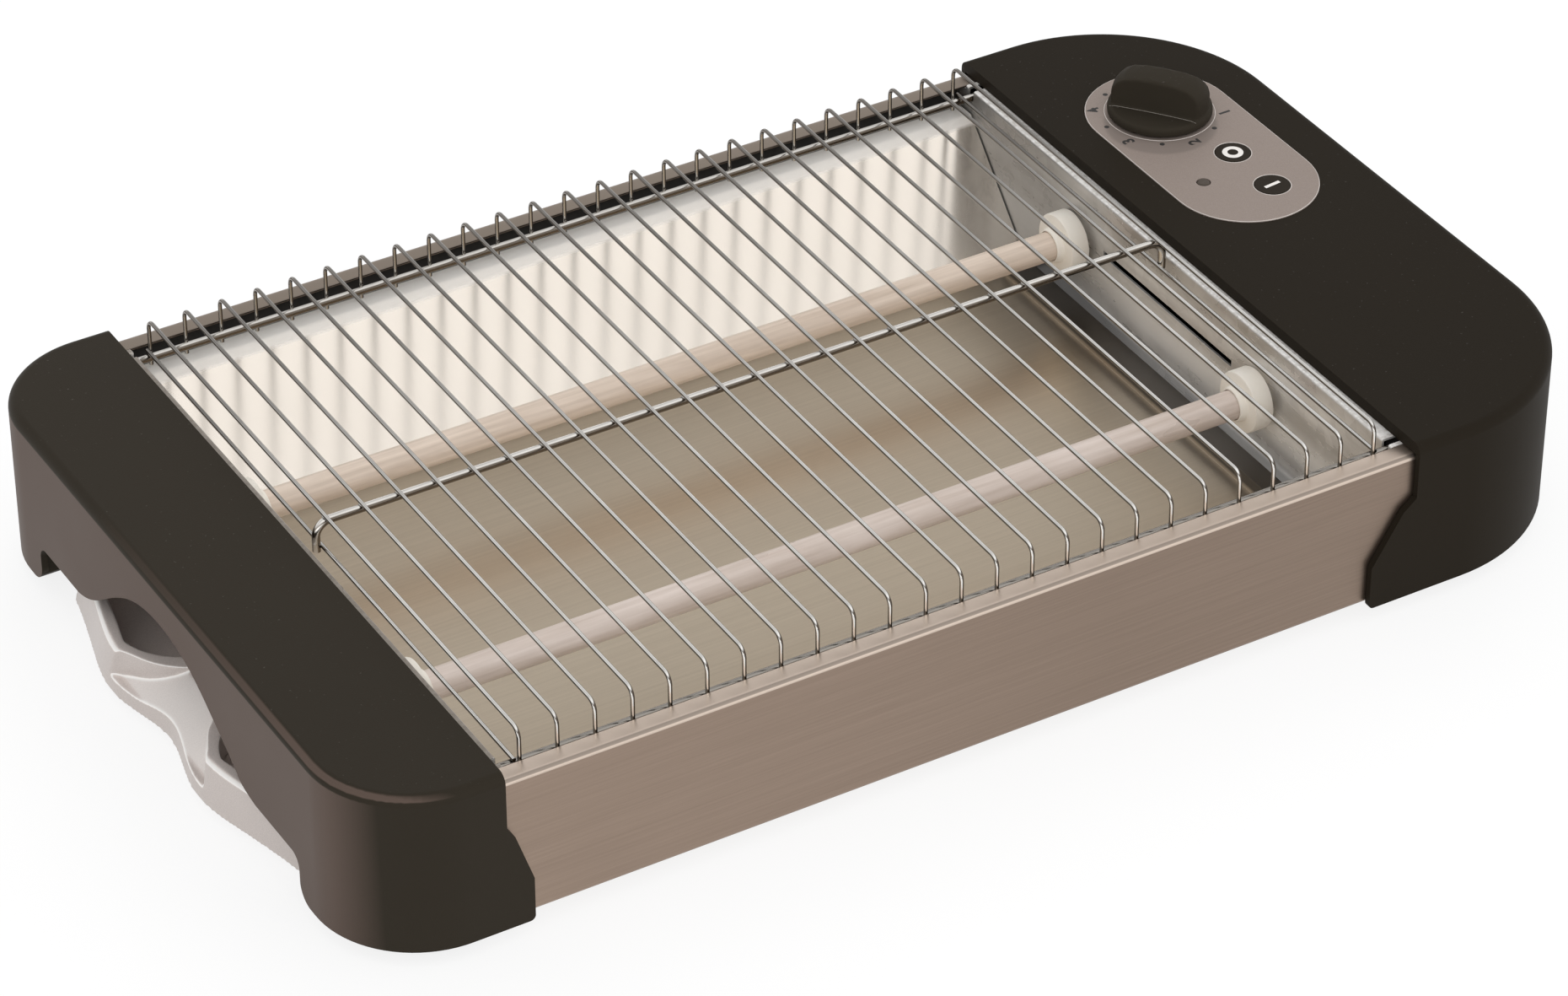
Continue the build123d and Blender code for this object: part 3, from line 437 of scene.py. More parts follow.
wireLook = {"topLean": (-0.22, -0.10, 0.97), "topTurn": (0.70, 0.86), "rearFade": (-0.030, 0.070),
            "frontEnd": (-0.100, -0.095), "rearLegs": (0.1030, 0.1040), "rearLegShare": 0.55,
            "frontLegs": (-0.1040, -0.1030), "frontLegShare": 0.85, "legLean": (-0.62, -0.78, 0.0),
            "legTurn": (0.80, 0.92), "farTurn": (0.82, 0.95), "farShare": 0.6, "nearLean": (-1.0, 0.0, -0.15),
            "nearTurn": (0.90, 0.98), "nearShare": 0.22, "patchScale": 160.0, "patchDetail": 3.0,
            "patches": (0.85, 1.0), "patchRoughness": 0.08}


# Painted reflection: the wire is given a light colour on its upper side, its legs and some sides, and a dark one
# elsewhere, fading to dark towards the rear and at the front rod
def wireMetal(name, glintColour, rim, roughness, rearGlint, legGlint, frontGlint):
    look = wireLook
    material, tree, shader = freshMaterial(name)
    shader.inputs["Metallic"].default_value = 1.0
    top = product(tree, leaning(tree, look["topLean"], *look["topTurn"]),
                  alongAxis(tree, "Y", *look["rearFade"], 1.0, rearGlint))
    top = product(tree, top, alongAxis(tree, "Y", *look["frontEnd"], frontGlint, 1.0))
    ends = larger(tree, alongAxis(tree, "Y", *look["rearLegs"], legGlint, look["rearLegShare"]),
                  alongAxis(tree, "Y", *look["frontLegs"], look["frontLegShare"], legGlint))
    legs = product(tree, leaning(tree, look["legLean"], *look["legTurn"], bothWays=True), ends)
    patches = noiseNode(tree, look["patchScale"], look["patchDetail"], objectPlace(tree))
    patches = mapRange(tree, patches, *cloudRange, *look["patches"])
    far = larger(tree, leaning(tree, (1.0, 0.0, 0.0), *look["farTurn"]),
                 leaning(tree, (0.0, 1.0, 0.0), *look["farTurn"]))
    near = leaning(tree, look["nearLean"], *look["nearTurn"])
    sides = larger(tree, product(tree, far, look["farShare"]), product(tree, near, look["nearShare"]))
    amount = product(tree, larger(tree, larger(tree, top, legs), sides), patches)
    feed(shader, "Base Color", mixColour(tree, amount, rim, glintColour))
    feed(shader, "Roughness", mapRange(tree, patches, *look["patches"], roughness + look["patchRoughness"], roughness))
    return material


zincLook = {"scale": 240.0, "flakeShare": 0.05, "streakShare": 0.95, "tones": (0.36, 0.60),
            "dark": (0.46, 0.435, 0.405), "light": (0.97, 0.95, 0.92), "glowRise": (0.0150, 0.0210),
            "glowFall": (0.0250, 0.0320), "glowShare": 0.9, "glowRest": 0.15, "glowColour": (1.0, 0.99, 0.97),
            "rearFade": (0.010, 0.060), "footFade": (0.0120, 0.0155), "footShade": 0.75,
            "shadeColour": (0.050, 0.046, 0.042), "sparkleScale": 700.0, "sparkleDetail": 2.0,
            "sparkles": (0.35, 0.62), "foldTurn": (0.5, 0.9), "foldLevel": (0.045, 0.046), "webMetal": 0.50,
            "foldMetal": 0.10, "roughFrom": (0.25, 0.70), "roughTo": (0.20, 0.40), "bumpStrength": 0.12,
            "bumpHeight": 0.0004}


def zincSheet(name, foldDark, foldLight, rearShade):
    look = zincLook
    material, tree, shader = freshMaterial(name)
    zinc = placeGroup(tree, spangleGroup, Scale=look["scale"])
    both = blend(tree, zinc.outputs["Flakes"], look["flakeShare"], zinc.outputs["Streaks"], look["streakShare"])
    tone = mixColour(tree, mapRange(tree, both, *look["tones"]), look["dark"], look["light"])
    # painted light: a near-white band across the web at mid height
    glow = mathNode(tree, "MINIMUM", alongAxis(tree, "Z", *look["glowRise"], 0.0, look["glowShare"]),
                    alongAxis(tree, "Z", *look["glowFall"], look["glowShare"], look["glowRest"]))
    tone = mixColour(tree, glow, tone, look["glowColour"])
    # painted shade: darker towards the rear and at the foot of the web
    shade = mathNode(tree, "ADD", alongAxis(tree, "Y", *look["rearFade"], 0.0, rearShade),
                     alongAxis(tree, "Z", *look["footFade"], look["footShade"], 0.0), clamp=True)
    tone = mixColour(tree, shade, tone, look["shadeColour"])
    sparkle = noiseNode(tree, look["sparkleScale"], look["sparkleDetail"], objectPlace(tree))
    fold = mixColour(tree, mapRange(tree, sparkle, *look["sparkles"]), foldDark, foldLight)
    # painted light on the top fold, in the fold tones of each plate
    top = product(tree, upFacing(tree, *look["foldTurn"]), alongAxis(tree, "Z", *look["foldLevel"]))
    feed(shader, "Base Color", mixColour(tree, top, tone, fold))
    feed(shader, "Metallic", mapRange(tree, top, 0.0, 1.0, look["webMetal"], look["foldMetal"]))
    feed(shader, "Roughness", mapRange(tree, both, *look["roughFrom"], *look["roughTo"]))
    feed(shader, "Normal", bumpNode(tree, both, look["bumpStrength"], look["bumpHeight"]))
    return material


quartzLook = {"cloudScale": 30.0, "cloudDetail": 4.0, "cloudStretch": (0.5, 2.0, 2.0), "streakScale": 1.0,
              "streakDetail": 3.0, "streakStretch": (26.0, 620.0, 620.0), "share": 0.5, "milky": (0.36, 0.62),
              "roughness": (0.26, 0.42), "bumpStrength": 0.10, "bumpHeight": 0.0003, "transmission": 0.06,
              "ior": 1.46}


def quartzGlass(name, dark, light):
    look = quartzLook
    material, tree, shader = freshMaterial(name)
    where = objectPlace(tree)
    cloud = noiseNode(tree, look["cloudScale"], look["cloudDetail"], where, look["cloudStretch"])
    streaks = noiseNode(tree, look["streakScale"], look["streakDetail"], where, look["streakStretch"])
    milky = mapRange(tree, blend(tree, cloud, look["share"], streaks, look["share"]), *look["milky"])
    feed(shader, "Base Color", mixColour(tree, milky, dark, light))
    feed(shader, "Roughness", mapRange(tree, cloud, *cloudRange, *look["roughness"]))
    feed(shader, "Normal", bumpNode(tree, streaks, look["bumpStrength"], look["bumpHeight"]))
    shader.inputs["Transmission Weight"].default_value = look["transmission"]
    shader.inputs["IOR"].default_value = look["ior"]
    return material


def ceramicBody(name, dark, light, roughness, cloudScale, cloudDetail, pitScale, pitDetail, pitStrength, pitHeight):
    material, tree, shader = freshMaterial(name)
    where = objectPlace(tree)
    cloud = noiseNode(tree, cloudScale, cloudDetail, where)
    feed(shader, "Base Color", mixColour(tree, cloud, dark, light))
    feed(shader, "Roughness", mapRange(tree, cloud, *cloudRange, *roughness))
    pits = noiseNode(tree, pitScale, pitDetail, where)
    feed(shader, "Normal", bumpNode(tree, pits, pitStrength, pitHeight))
    return material


paintLook = {"grainScale": 3800.0, "dustAmount": 0.08, "dustColour": (0.12, 0.11, 0.10), "flakes": (0.35, 0.65),
             "sideShare": 0.72, "sideTurn": (0.30, 0.60), "rimFoot": (0.42, 0.56), "rimTop": (0.80, 0.93),
             "spotRadius": (0.0160, 0.0172), "spotShare": 0.74, "smoother": 0.04, "rougher": 0.05,
             "bumpStrength": 0.08, "bumpHeight": 0.00005}


def silverPaint(name, dark, light, roughness, metallic, rim=None, knobShadeSpot=None):
    look = paintLook
    material, tree, shader = freshMaterial(name)
    shader.inputs["Metallic"].default_value = metallic
    grain = placeGroup(tree, grainGroup, Scale=look["grainScale"])
    dust = placeGroup(tree, dustGroup, Amount=look["dustAmount"])
    flakes = mapRange(tree, grain.outputs["Height"], *look["flakes"])
    tone = mixColour(tree, flakes, dark, light)
    if rim is not None:  # painted shade on upright faces, and a painted highlight on the rounded rim
        shaded = mixColour(tree, flakes, scaled(dark, look["sideShare"]), scaled(light, look["sideShare"]))
        tone = mixColour(tree, upFacing(tree, *look["sideTurn"]), shaded, tone)
        edge = product(tree, upFacing(tree, *look["rimFoot"]), inverse(tree, upFacing(tree, *look["rimTop"])))
        tone = mixColour(tree, edge, tone, rim)
    if knobShadeSpot is not None:  # a darker disc, the knob's painted shadow and reflection on the plate
        flat = vectorNode(tree, "MULTIPLY", objectPlace(tree), (1.0, 1.0, 0.0))["Vector"]
        away = vectorNode(tree, "DISTANCE", flat, (*knobShadeSpot, 0.0))["Value"]
        zone = mapRange(tree, away, *look["spotRadius"], 1.0, 0.0)
        tone = mixColour(tree, zone, tone, scaled(light, look["spotShare"]))
    tone = mixColour(tree, dust.outputs["Dust"], tone, look["dustColour"])
    feed(shader, "Base Color", tone)
    cloudyRoughness(tree, shader, grain.outputs["Cloud"], roughness, look)
    feed(shader, "Normal", bumpNode(tree, grain.outputs["Height"], look["bumpStrength"], look["bumpHeight"]))
    return material


# Materials

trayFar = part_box("crumb_tray")[1].x
knobLow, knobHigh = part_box("timer_knob")
knobCentre = ((knobLow.x + knobHigh.x) / 2, (knobLow.y + knobHigh.y) / 2)
# offset of the knob's painted shadow and reflection on the plate
mirrorShift = (0.0036, 0.0060)

plastics = {
    # capPlastic's side colour is the painted sheen of its left wall and rim
    "capPlastic": {"dark": (0.0258, 0.0210, 0.0150), "light": (0.0327, 0.0267, 0.0194), "roughness": 0.46,
                   "grainScale": 2600.0, "grainDepth": 0.22, "gloss": 0.09, "side": (0.108, 0.078, 0.064)},
    # a darker copy of the cap plastic, as painted shade where the light falls off to the right
    "housingPlastic": {"dark": (0.0170, 0.0136, 0.0095), "light": (0.0230, 0.0183, 0.0132), "roughness": 0.52,
                       "grainScale": 2600.0, "grainDepth": 0.22, "gloss": 0.045},
    "knobPlastic": {"dark": (0.0300, 0.0250, 0.0182), "light": (0.0375, 0.0312, 0.0232), "roughness": 0.60,
                    "grainScale": 3600.0, "grainDepth": 0.12, "gloss": 0.05},
    "buttonPlastic": {"dark": (0.0240, 0.0192, 0.0144), "light": (0.029, 0.0232, 0.0176), "roughness": 0.50,
                      "grainScale": 3600.0, "grainDepth": 0.08, "gloss": 0.06},
    "innerPlastic": {"dark": (0.020, 0.020, 0.020), "light": (0.035, 0.035, 0.035), "roughness": 0.45,
                     "grainScale": 2400.0, "grainDepth": 0.15},
    "boardLacquer": {"dark": (0.010, 0.060, 0.025), "light": (0.018, 0.085, 0.035), "roughness": 0.30,
                     "grainScale": 900.0, "grainDepth": 0.10, "gloss": 0.4},
    "rubber": {"dark": (0.007, 0.006, 0.005), "light": (0.013, 0.011, 0.009), "roughness": 0.75,
               "grainScale": 1500.0, "grainDepth": 0.40},
    "sleeveCloth": {"dark": (0.45, 0.43, 0.39), "light": (0.62, 0.60, 0.55), "roughness": 0.80,
                    "grainScale": 1200.0, "grainDepth": 0.60},
    "lampRed": {"dark": (0.35, 0.03, 0.02), "light": (0.45, 0.05, 0.03), "roughness": 0.15,
                "grainScale": 900.0, "grainDepth": 0.02, "gloss": 0.5},
    "lensGrey": {"dark": (0.070, 0.058, 0.048), "light": (0.085, 0.070, 0.058), "roughness": 0.40,
                 "grainScale": 2000.0, "grainDepth": 0.05, "gloss": 0.2},
}
brushedSheets = {
    # brushedSteel's flange tone is the painted light of its folded edge
    "brushedSteel": {"dark": (0.305, 0.230, 0.180), "light": (0.360, 0.273, 0.216), "roughness": 0.36,
                     "fineness": 1.0, "depth": 0.14, "paintedFlangeShading": (0.78, 0.65, 0.55)},
    # a darker copy of the panel steel, with its flange and inner face in painted shade
    "rearSteel": {"dark": (0.285, 0.215, 0.170), "light": (0.335, 0.256, 0.204), "roughness": 0.36,
                  "fineness": 1.0, "depth": 0.10, "paintedFlangeShading": (0.36, 0.300, 0.250), "inner": (0.020, 0.017, 0.014)},
    # the step colour is painted shade on the step's wall
    "traySteel": {"dark": (0.690, 0.585, 0.455), "light": (0.765, 0.655, 0.515), "roughness": 0.33,
                  "fineness": 0.7, "depth": 0.03,
                  "step": {"x": trayFar - 0.0060, "level": 0.0080, "colour": (0.150, 0.138, 0.125)}},
    "pinSteel": {"dark": (0.45, 0.42, 0.38), "light": (0.60, 0.56, 0.51), "roughness": 0.30, "fineness": 1.0,
                 "depth": 0.10},
    "coilWire": {"dark": (0.30, 0.26, 0.23), "light": (0.42, 0.38, 0.34), "roughness": 0.45, "fineness": 1.0,
                 "depth": 0.10},
}
# glintColour and rim are the painted highlight and dark reflection of the plated metal
platedWires = {
    "chrome": {"glintColour": (1.0, 0.98, 0.94), "rim": (0.085, 0.069, 0.055), "roughness": 0.12, "rearGlint": 0.26,
               "legGlint": 0.0, "frontGlint": 1.0},
    "rodChrome": {"glintColour": (1.0, 0.97, 0.92), "rim": (0.150, 0.125, 0.100), "roughness": 0.10, "rearGlint": 0.80,
                  "legGlint": 0.8, "frontGlint": 0.30},
}
reflectors = {
    # the rear shelf colour is a painted dark strip behind the rod
    "mirrorRear": {"colour": (0.945, 0.868, 0.778), "roughness": 0.15, "shelf": (0.020, 0.017, 0.014),
                   "slopeNormal": (0.0, -0.7285, 0.685)},
    "mirrorFront": {"colour": (0.97, 0.895, 0.81), "roughness": 0.15, "shelf": (0.42, 0.36, 0.30)},
}
zincPlates = {
    "galvanised": {"foldDark": (0.72, 0.69, 0.65), "foldLight": (1.0, 0.98, 0.95), "rearShade": 0.62},
    # the left plate's copy, with its fold in painted shade under the cap
    "galvanisedDull": {"foldDark": (0.27, 0.235, 0.20), "foldLight": (0.34, 0.30, 0.26), "rearShade": 0.0},
}
quartzTubes = {
    "quartz": {"dark": (0.70, 0.58, 0.50), "light": (0.92, 0.80, 0.73)},
    "quartzRear": {"dark": (0.70, 0.565, 0.455), "light": (0.95, 0.80, 0.675)},
}
ceramics = {
    "ceramic": {"dark": (0.97, 0.89, 0.775), "light": (1.0, 0.96, 0.885), "roughness": (0.45, 0.62),
                "cloudScale": 120.0, "cloudDetail": 4.0, "pitScale": 1400.0, "pitDetail": 2.0,
                "pitStrength": 0.25, "pitHeight": 0.0001},
}
paints = {
    # silverPull's rim colour is a painted highlight on the rounded rims
    "silverPull": {"dark": (0.765, 0.685, 0.645), "light": (0.87, 0.785, 0.74), "roughness": 0.34,
                   "metallic": 0.20, "rim": (1.0, 0.97, 0.94)},
    "controlSilver": {"dark": (0.290, 0.234, 0.204), "light": (0.335, 0.274, 0.240), "roughness": 0.50,
                      "metallic": 0.25, "knobShadeSpot": (knobCentre[0] - mirrorShift[0], knobCentre[1] - mirrorShift[1])},
    "rimSilver": {"dark": (0.62, 0.56, 0.52), "light": (0.72, 0.66, 0.62), "roughness": 0.35, "metallic": 0.3},
    "printDark": {"dark": (0.020, 0.018, 0.017), "light": (0.030, 0.027, 0.025), "roughness": 0.55, "metallic": 0.0},
    "printWhite": {"dark": (0.84, 0.80, 0.76), "light": (0.92, 0.88, 0.84), "roughness": 0.50, "metallic": 0.0},
    # the grip line's colour is a painted highlight
    "edgeWorn": {"dark": (0.20, 0.18, 0.155), "light": (0.30, 0.27, 0.235), "roughness": 0.50, "metallic": 0.0},
}

finishes = {}
for maker, looks in ((mouldedPlastic, plastics), (brushedMetal, brushedSheets), (wireMetal, platedWires),
                     (reflectorSheet, reflectors), (zincSheet, zincPlates), (quartzGlass, quartzTubes),
                     (ceramicBody, ceramics), (silverPaint, paints)):
    for finishName, look in looks.items():
        finishes[finishName] = maker(finishName, **look)
print("materials built:", len(finishes))


# Finish of the CAD nodes that stay, with the width of each one's small bevel in mm

cadFinish = {
    "housingPlastic": {"control_housing": 0.35, "base_cover": 0.2, "cord_gland": 0.2},
    "capPlastic": {"left_end_cap": 0.35}, "silverPull": {"tray_carrier": 0.3},
    "brushedSteel": {"front_panel": 0.0}, "rearSteel": {"rear_panel": 0.0}, "traySteel": {"crumb_tray": 0.1},
    "mirrorFront": {"front_reflector": 0.0}, "mirrorRear": {"rear_reflector": 0.0},
    "galvanisedDull": {"left_end_plate": 0.1}, "galvanised": {"right_end_plate": 0.1},
    "quartz": {"front_heater_tube": 0.0}, "quartzRear": {"rear_heater_tube": 0.0},
    "coilWire": {"front_heater_winding": 0.0, "rear_heater_winding": 0.0}, "sleeveCloth": {"heater_leads": 0.0},
    "controlSilver": {"control_plate": 0.08}, "lensGrey": {"indicator_lens": 0.1},
    "lampRed": {"indicator_lamp": 0.2}, "boardLacquer": {"control_board": 0.1},
    "rubber": {"left_feet": 0.5, "right_feet": 0.5},
    "buttonPlastic": {"start_button": 0.15, "stop_button": 0.15},
    "innerPlastic": {"timer_potentiometer": 0.2, "start_switch": 0.2, "stop_switch": 0.2, "power_relay": 0.4,
                     "mains_terminals": 0.3, "start_switch_plunger": 0.1, "stop_switch_plunger": 0.1},
    "pinSteel": {"left_heater_terminals": 0.1, "right_heater_terminals": 0.1, "heater_link": 0.1,
                 "board_screws": 0.2, "cover_screws": 0.2, "tray_screws": 0.2, "knob_spindle": 0.1},
}
pullLook = {"voxel": 0.4, "rounds": 7}
edgeLook = {"weld": 0.00001, "segments": 2, "angle": 40, "weight": 60, "relax": 0.5}


def dressNode(name, finish):
    piece = parts[name]
    piece.data.materials.clear()
    piece.data.materials.append(finishes[finish])
    return piece


def finishNode(name, finish, edge):
    piece = dressNode(name, finish)
    piece.data.polygons.foreach_set("use_smooth", [True] * len(piece.data.polygons))
    weld = piece.modifiers.new("join", "WELD")
    weld.merge_threshold = edgeLook["weld"]
    if edge > 0:
        bevel = piece.modifiers.new("edge", "BEVEL")
        bevel.width = edge * mm
        bevel.segments = edgeLook["segments"]
        bevel.limit_method = "ANGLE"
        bevel.angle_limit = math.radians(edgeLook["angle"])
        bevel.use_clamp_overlap = True
        bevel.harden_normals = True
    normals = piece.modifiers.new("even", "WEIGHTED_NORMAL")
    normals.keep_sharp = True
    normals.weight = edgeLook["weight"]


def soften(piece, voxel, rounds):
    grid = piece.modifiers.new("grid", "REMESH")
    grid.mode = "VOXEL"
    grid.voxel_size = voxel * mm
    grid.use_smooth_shade = True
    relax = piece.modifiers.new("relax", "SMOOTH")
    relax.factor = edgeLook["relax"]
    relax.iterations = rounds


for finish, nodes in cadFinish.items():
    for nodeName, edge in nodes.items():
        finishNode(nodeName, finish, edge)
soften(dressNode("tray_pull", "silverPull"), pullLook["voxel"], pullLook["rounds"])
print("nodes finished:", 1 + sum(len(nodes) for nodes in cadFinish.values()))


# Ceramic holders, turned on their axis; distances are from the end plate towards the tube

holderLook = {"profile": ((-7.0, 2.0), (-7.0, 4.2), (-6.7, 4.5), (0.0, 4.5), (0.0, 6.2), (1.3, 6.2), (1.3, 8.6),
                          (1.45, 9.0), (1.8, 9.2), (6.8, 9.2), (7.2, 9.0), (7.35, 8.6), (7.4, 5.6), (7.6, 5.35),
                          (9.4, 5.1), (9.65, 4.95), (9.7, 4.55), (7.0, 4.5), (6.0, 2.0)),
              "neck": 7.0, "segments": 56}


def joinRings(shape, rings):
    for first, second in rings:
        for step in range(len(first)):
            after = (step + 1) % len(first)
            shape.faces.new((first[step], first[after], second[after], second[step]))


def turnedMesh(shape, profile, place, direction, segments):
    rings = []
    for along, radius in profile:
        rings.append([shape.verts.new((place[0] + direction * along * mm,
                                       place[1] + radius * mm * math.cos(math.tau * step / segments),
                                       place[2] + radius * mm * math.sin(math.tau * step / segments)))
                      for step in range(segments)])
    joinRings(shape, zip(rings, rings[1:] + rings[:1]))


def newPiece(name, shape, finish, body, smoothAngle=35):
    bmesh.ops.recalc_face_normals(shape, faces=shape.faces)
    mesh = bpy.data.meshes.new(name)
    shape.to_mesh(mesh)
    shape.free()
    mesh.materials.append(finishes[finish])
    mesh.polygons.foreach_set("use_smooth", [True] * len(mesh.polygons))
    mesh.set_sharp_from_angle(angle=math.radians(smoothAngle))
    piece = linkNew(name, mesh)
    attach(piece, body)
    return piece


def buildHolders():
    for side in ("front", "rear"):
        low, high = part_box(side + "_heater_holders")
        tubeLow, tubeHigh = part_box(side + "_heater_tube")
        middle = ((tubeLow.y + tubeHigh.y) / 2, (tubeLow.z + tubeHigh.z) / 2)
        neck = holderLook["neck"] * mm
        shape = bmesh.new()
        for plateX, direction in ((low.x + neck, 1), (high.x - neck, -1)):
            turnedMesh(shape, holderLook["profile"], (plateX, *middle), direction, holderLook["segments"])
        piece = newPiece(side + "_holders", shape, "ceramic", "body")
        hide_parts(side + "_heater_holders")
    print("holders built")


buildHolders()


# Knob: a round body cut to a grip bar over a low skirt; heights are from the foot

knobLook = {"skirt": ((0.0, 0.0), (15.5, 0.0), (15.6, 0.3), (15.6, 1.5), (15.3, 2.2), (14.6, 2.6), (0.0, 2.7)),
            "body": ((0.0, 0.4), (14.5, 0.4), (14.55, 2.6), (14.5, 6.0), (14.0, 8.0), (12.9, 9.5), (10.8, 10.8),
                     (7.6, 11.55), (4.0, 11.9), (0.0, 12.0)),
            "footHalf": 6.4, "crestHalf": 4.7, "turn": -52.0, "segments": 96, "axisRadius": 0.01, "voxel": 0.3,
            "rounds": 4}
gripLook = {"radius": 0.085, "reach": 13.4, "points": 17, "gap": 0.1, "bow": 0.45, "level": 2.74, "slopeStart": 14.3,
            "slope": 0.45}


def clippedTurn(shape, profile, segments, footHalf=math.inf, crestHalf=math.inf):
    crest = profile[-1][1]
    rings = []
    for radius, height in profile:
        half = footHalf if footHalf == math.inf else footHalf + (crestHalf - footHalf) * height / crest
        radius = max(radius, knobLook["axisRadius"])
        ring = []
        for step in range(segments):
            turn = math.tau * step / segments
            across = max(-half, min(half, radius * math.sin(turn)))
            ring.append(shape.verts.new((radius * math.cos(turn) * mm, across * mm, height * mm)))
        rings.append(ring)
    joinRings(shape, zip(rings, rings[1:]))
    shape.faces.new(rings[0])
    shape.faces.new(rings[-1])


def buildKnob():
    shape = bmesh.new()
    clippedTurn(shape, knobLook["skirt"], knobLook["segments"])
    clippedTurn(shape, knobLook["body"], knobLook["segments"], knobLook["footHalf"], knobLook["crestHalf"])
    turn = Matrix.Rotation(math.radians(knobLook["turn"]), 4, "Z")
    place = Matrix.Translation((*knobCentre, knobLow.z)) @ turn
    bmesh.ops.transform(shape, matrix=place, verts=shape.verts)
    piece = newPiece("dial_knob", shape, "knobPlastic", "timer_knob", smoothAngle=180)
    soften(piece, knobLook["voxel"], knobLook["rounds"])
    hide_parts("timer_knob")
    print("knob built")
    return place


# Painted highlight: a thin light line at the foot of the grip, on the skirt
def gripPath(place):
    look = gripLook
    line = []
    for step in range(look["points"]):
        share = 2.0 * step / (look["points"] - 1) - 1.0
        along = look["reach"] * share
        across = -(knobLook["footHalf"] + look["gap"] + look["bow"] * share * share)
        beyond = max(0.0, math.hypot(along, across) - look["slopeStart"])
        height = look["level"] - beyond * look["slope"]
        line.append(place @ Vector((along * mm, across * mm, height * mm)))
    return line


knobPlace = buildKnob()


# Wire rack

rackLook = {"wireRadius": 0.6, "frameRadius": 1.2, "legBend": 2.9, "barBend": 4.5, "bendPoints": 8, "count": 25,
            "rodDrop": 11.9, "barOverhang": 2.2, "barFoot": 1.2, "endInset": 1.6,
            "topWeld": (0.00070, 0.00115, 0.00030), "rodWeld": (0.00080, 0.00030, 0.00110)}


def bendPath(points, radius, steps):
    path = [Vector(points[0])]
    for before, corner, after in zip(points, points[1:], points[2:]):
        inward = (Vector(corner) - Vector(before)).normalized()
        outward = (Vector(after) - Vector(corner)).normalized()
        centre = Vector(corner) + (outward - inward) * radius
        for step in range(steps + 1):
            turn = math.radians(90.0 * step / steps)
            path.append(centre + (inward * math.sin(turn) - outward * math.cos(turn)) * radius)
    path.append(Vector(points[-1]))
    return path


def addLoop(curve, points, closed):
    spline = curve.splines.new("POLY")
    spline.points.add(len(points) - 1)
    for point, place in zip(spline.points, points):
        point.co = (*place, 1.0)
    spline.use_cyclic_u = closed
    return spline


def tubeCurve(name, paths, radius, finish, body, sides=6, closed=False):
    curve = bpy.data.curves.new(name, "CURVE")
    curve.dimensions = "3D"
    curve.bevel_depth = radius
    curve.bevel_resolution = sides
    curve.use_fill_caps = True
    for path in paths:
        addLoop(curve, path, closed).use_smooth = True
    curve.materials.append(finishes[finish])
    piece = linkNew(name, curve)
    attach(piece, body)
    return piece


def buildRack():
    look = rackLook
    low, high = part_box("rack_cross_wires")
    radius = look["wireRadius"] * mm
    firstX = low.x + radius
    pitch = (high.x - low.x - 2 * radius) / (look["count"] - 1)
    wireXs = [firstX + index * pitch for index in range(look["count"])]
    legY = high.y - radius
    topZ = high.z - radius
    wires = []
    for x in wireXs:
        corners = [(x, -legY, low.z), (x, -legY, topZ), (x, legY, topZ), (x, legY, low.z)]
        wires.append(bendPath(corners, look["legBend"] * mm, look["bendPoints"]))
    wirePiece = tubeCurve("rack_wires", wires, radius, "chrome", "wire_rack")
    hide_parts("rack_cross_wires")

    frameLow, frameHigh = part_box("rack_frame")
    rodRadius = look["frameRadius"] * mm
    rodY = legY - radius - rodRadius
    rodZ = topZ - (look["rodDrop"] - look["wireRadius"]) * mm
    rods = [[(frameLow.x, side * rodY, rodZ), (frameHigh.x, side * rodY, rodZ)] for side in (-1, 1)]
    middleX = (low.x + high.x) / 2
    barReach = (high.x - low.x) / 2 + look["barOverhang"] * mm
    barZ = topZ - radius - rodRadius
    endZ = rodZ + rodRadius + radius
    footZ = endZ - look["barFoot"] * mm
    bar = bendPath([(middleX - barReach, 0, footZ), (middleX - barReach, 0, barZ),
                    (middleX + barReach, 0, barZ), (middleX + barReach, 0, footZ)],
                   look["barBend"] * mm, look["bendPoints"])
    framePiece = tubeCurve("rack_rods", rods + [bar], rodRadius, "rodChrome", "wire_rack")
    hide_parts("rack_frame")
    endReach = barReach - look["endInset"] * mm
    ends = [[(middleX + side * endReach, -rodY - rodRadius, endZ),
             (middleX + side * endReach, rodY + rodRadius, endZ)] for side in (-1, 1)]
    tubeCurve("rack_end_wires", ends, radius, "chrome", "wire_rack")

    spots = []
    for x in wireXs:
        spots.append(((x, 0, topZ - radius), look["topWeld"]))
        for side in (-1, 1):
            spots.append(((x, side * (legY - radius), rodZ), look["rodWeld"]))
    weldBeads(spots)
    print("rack built:", len(wires), "wires,", len(spots), "welds")


def weldBeads(spots):
    mesh = bpy.data.meshes.new("rack_welds")
    beads = bmesh.new()
    for place, size in spots:
        shape = Matrix.Translation(place) @ Matrix.Diagonal((*size, 1.0))
        bmesh.ops.create_icosphere(beads, subdivisions=2, radius=1.0, matrix=shape)
    for face in beads.faces:
        face.smooth = True
    beads.to_mesh(mesh)
    beads.free()
    mesh.materials.append(finishes["chrome"])
    piece = linkNew("rack_welds", mesh)
    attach(piece, "wire_rack")


buildRack()


# Marks on the control plate, and thin light tubes on its edges as painted highlights; angles are from the right, to
# the rear

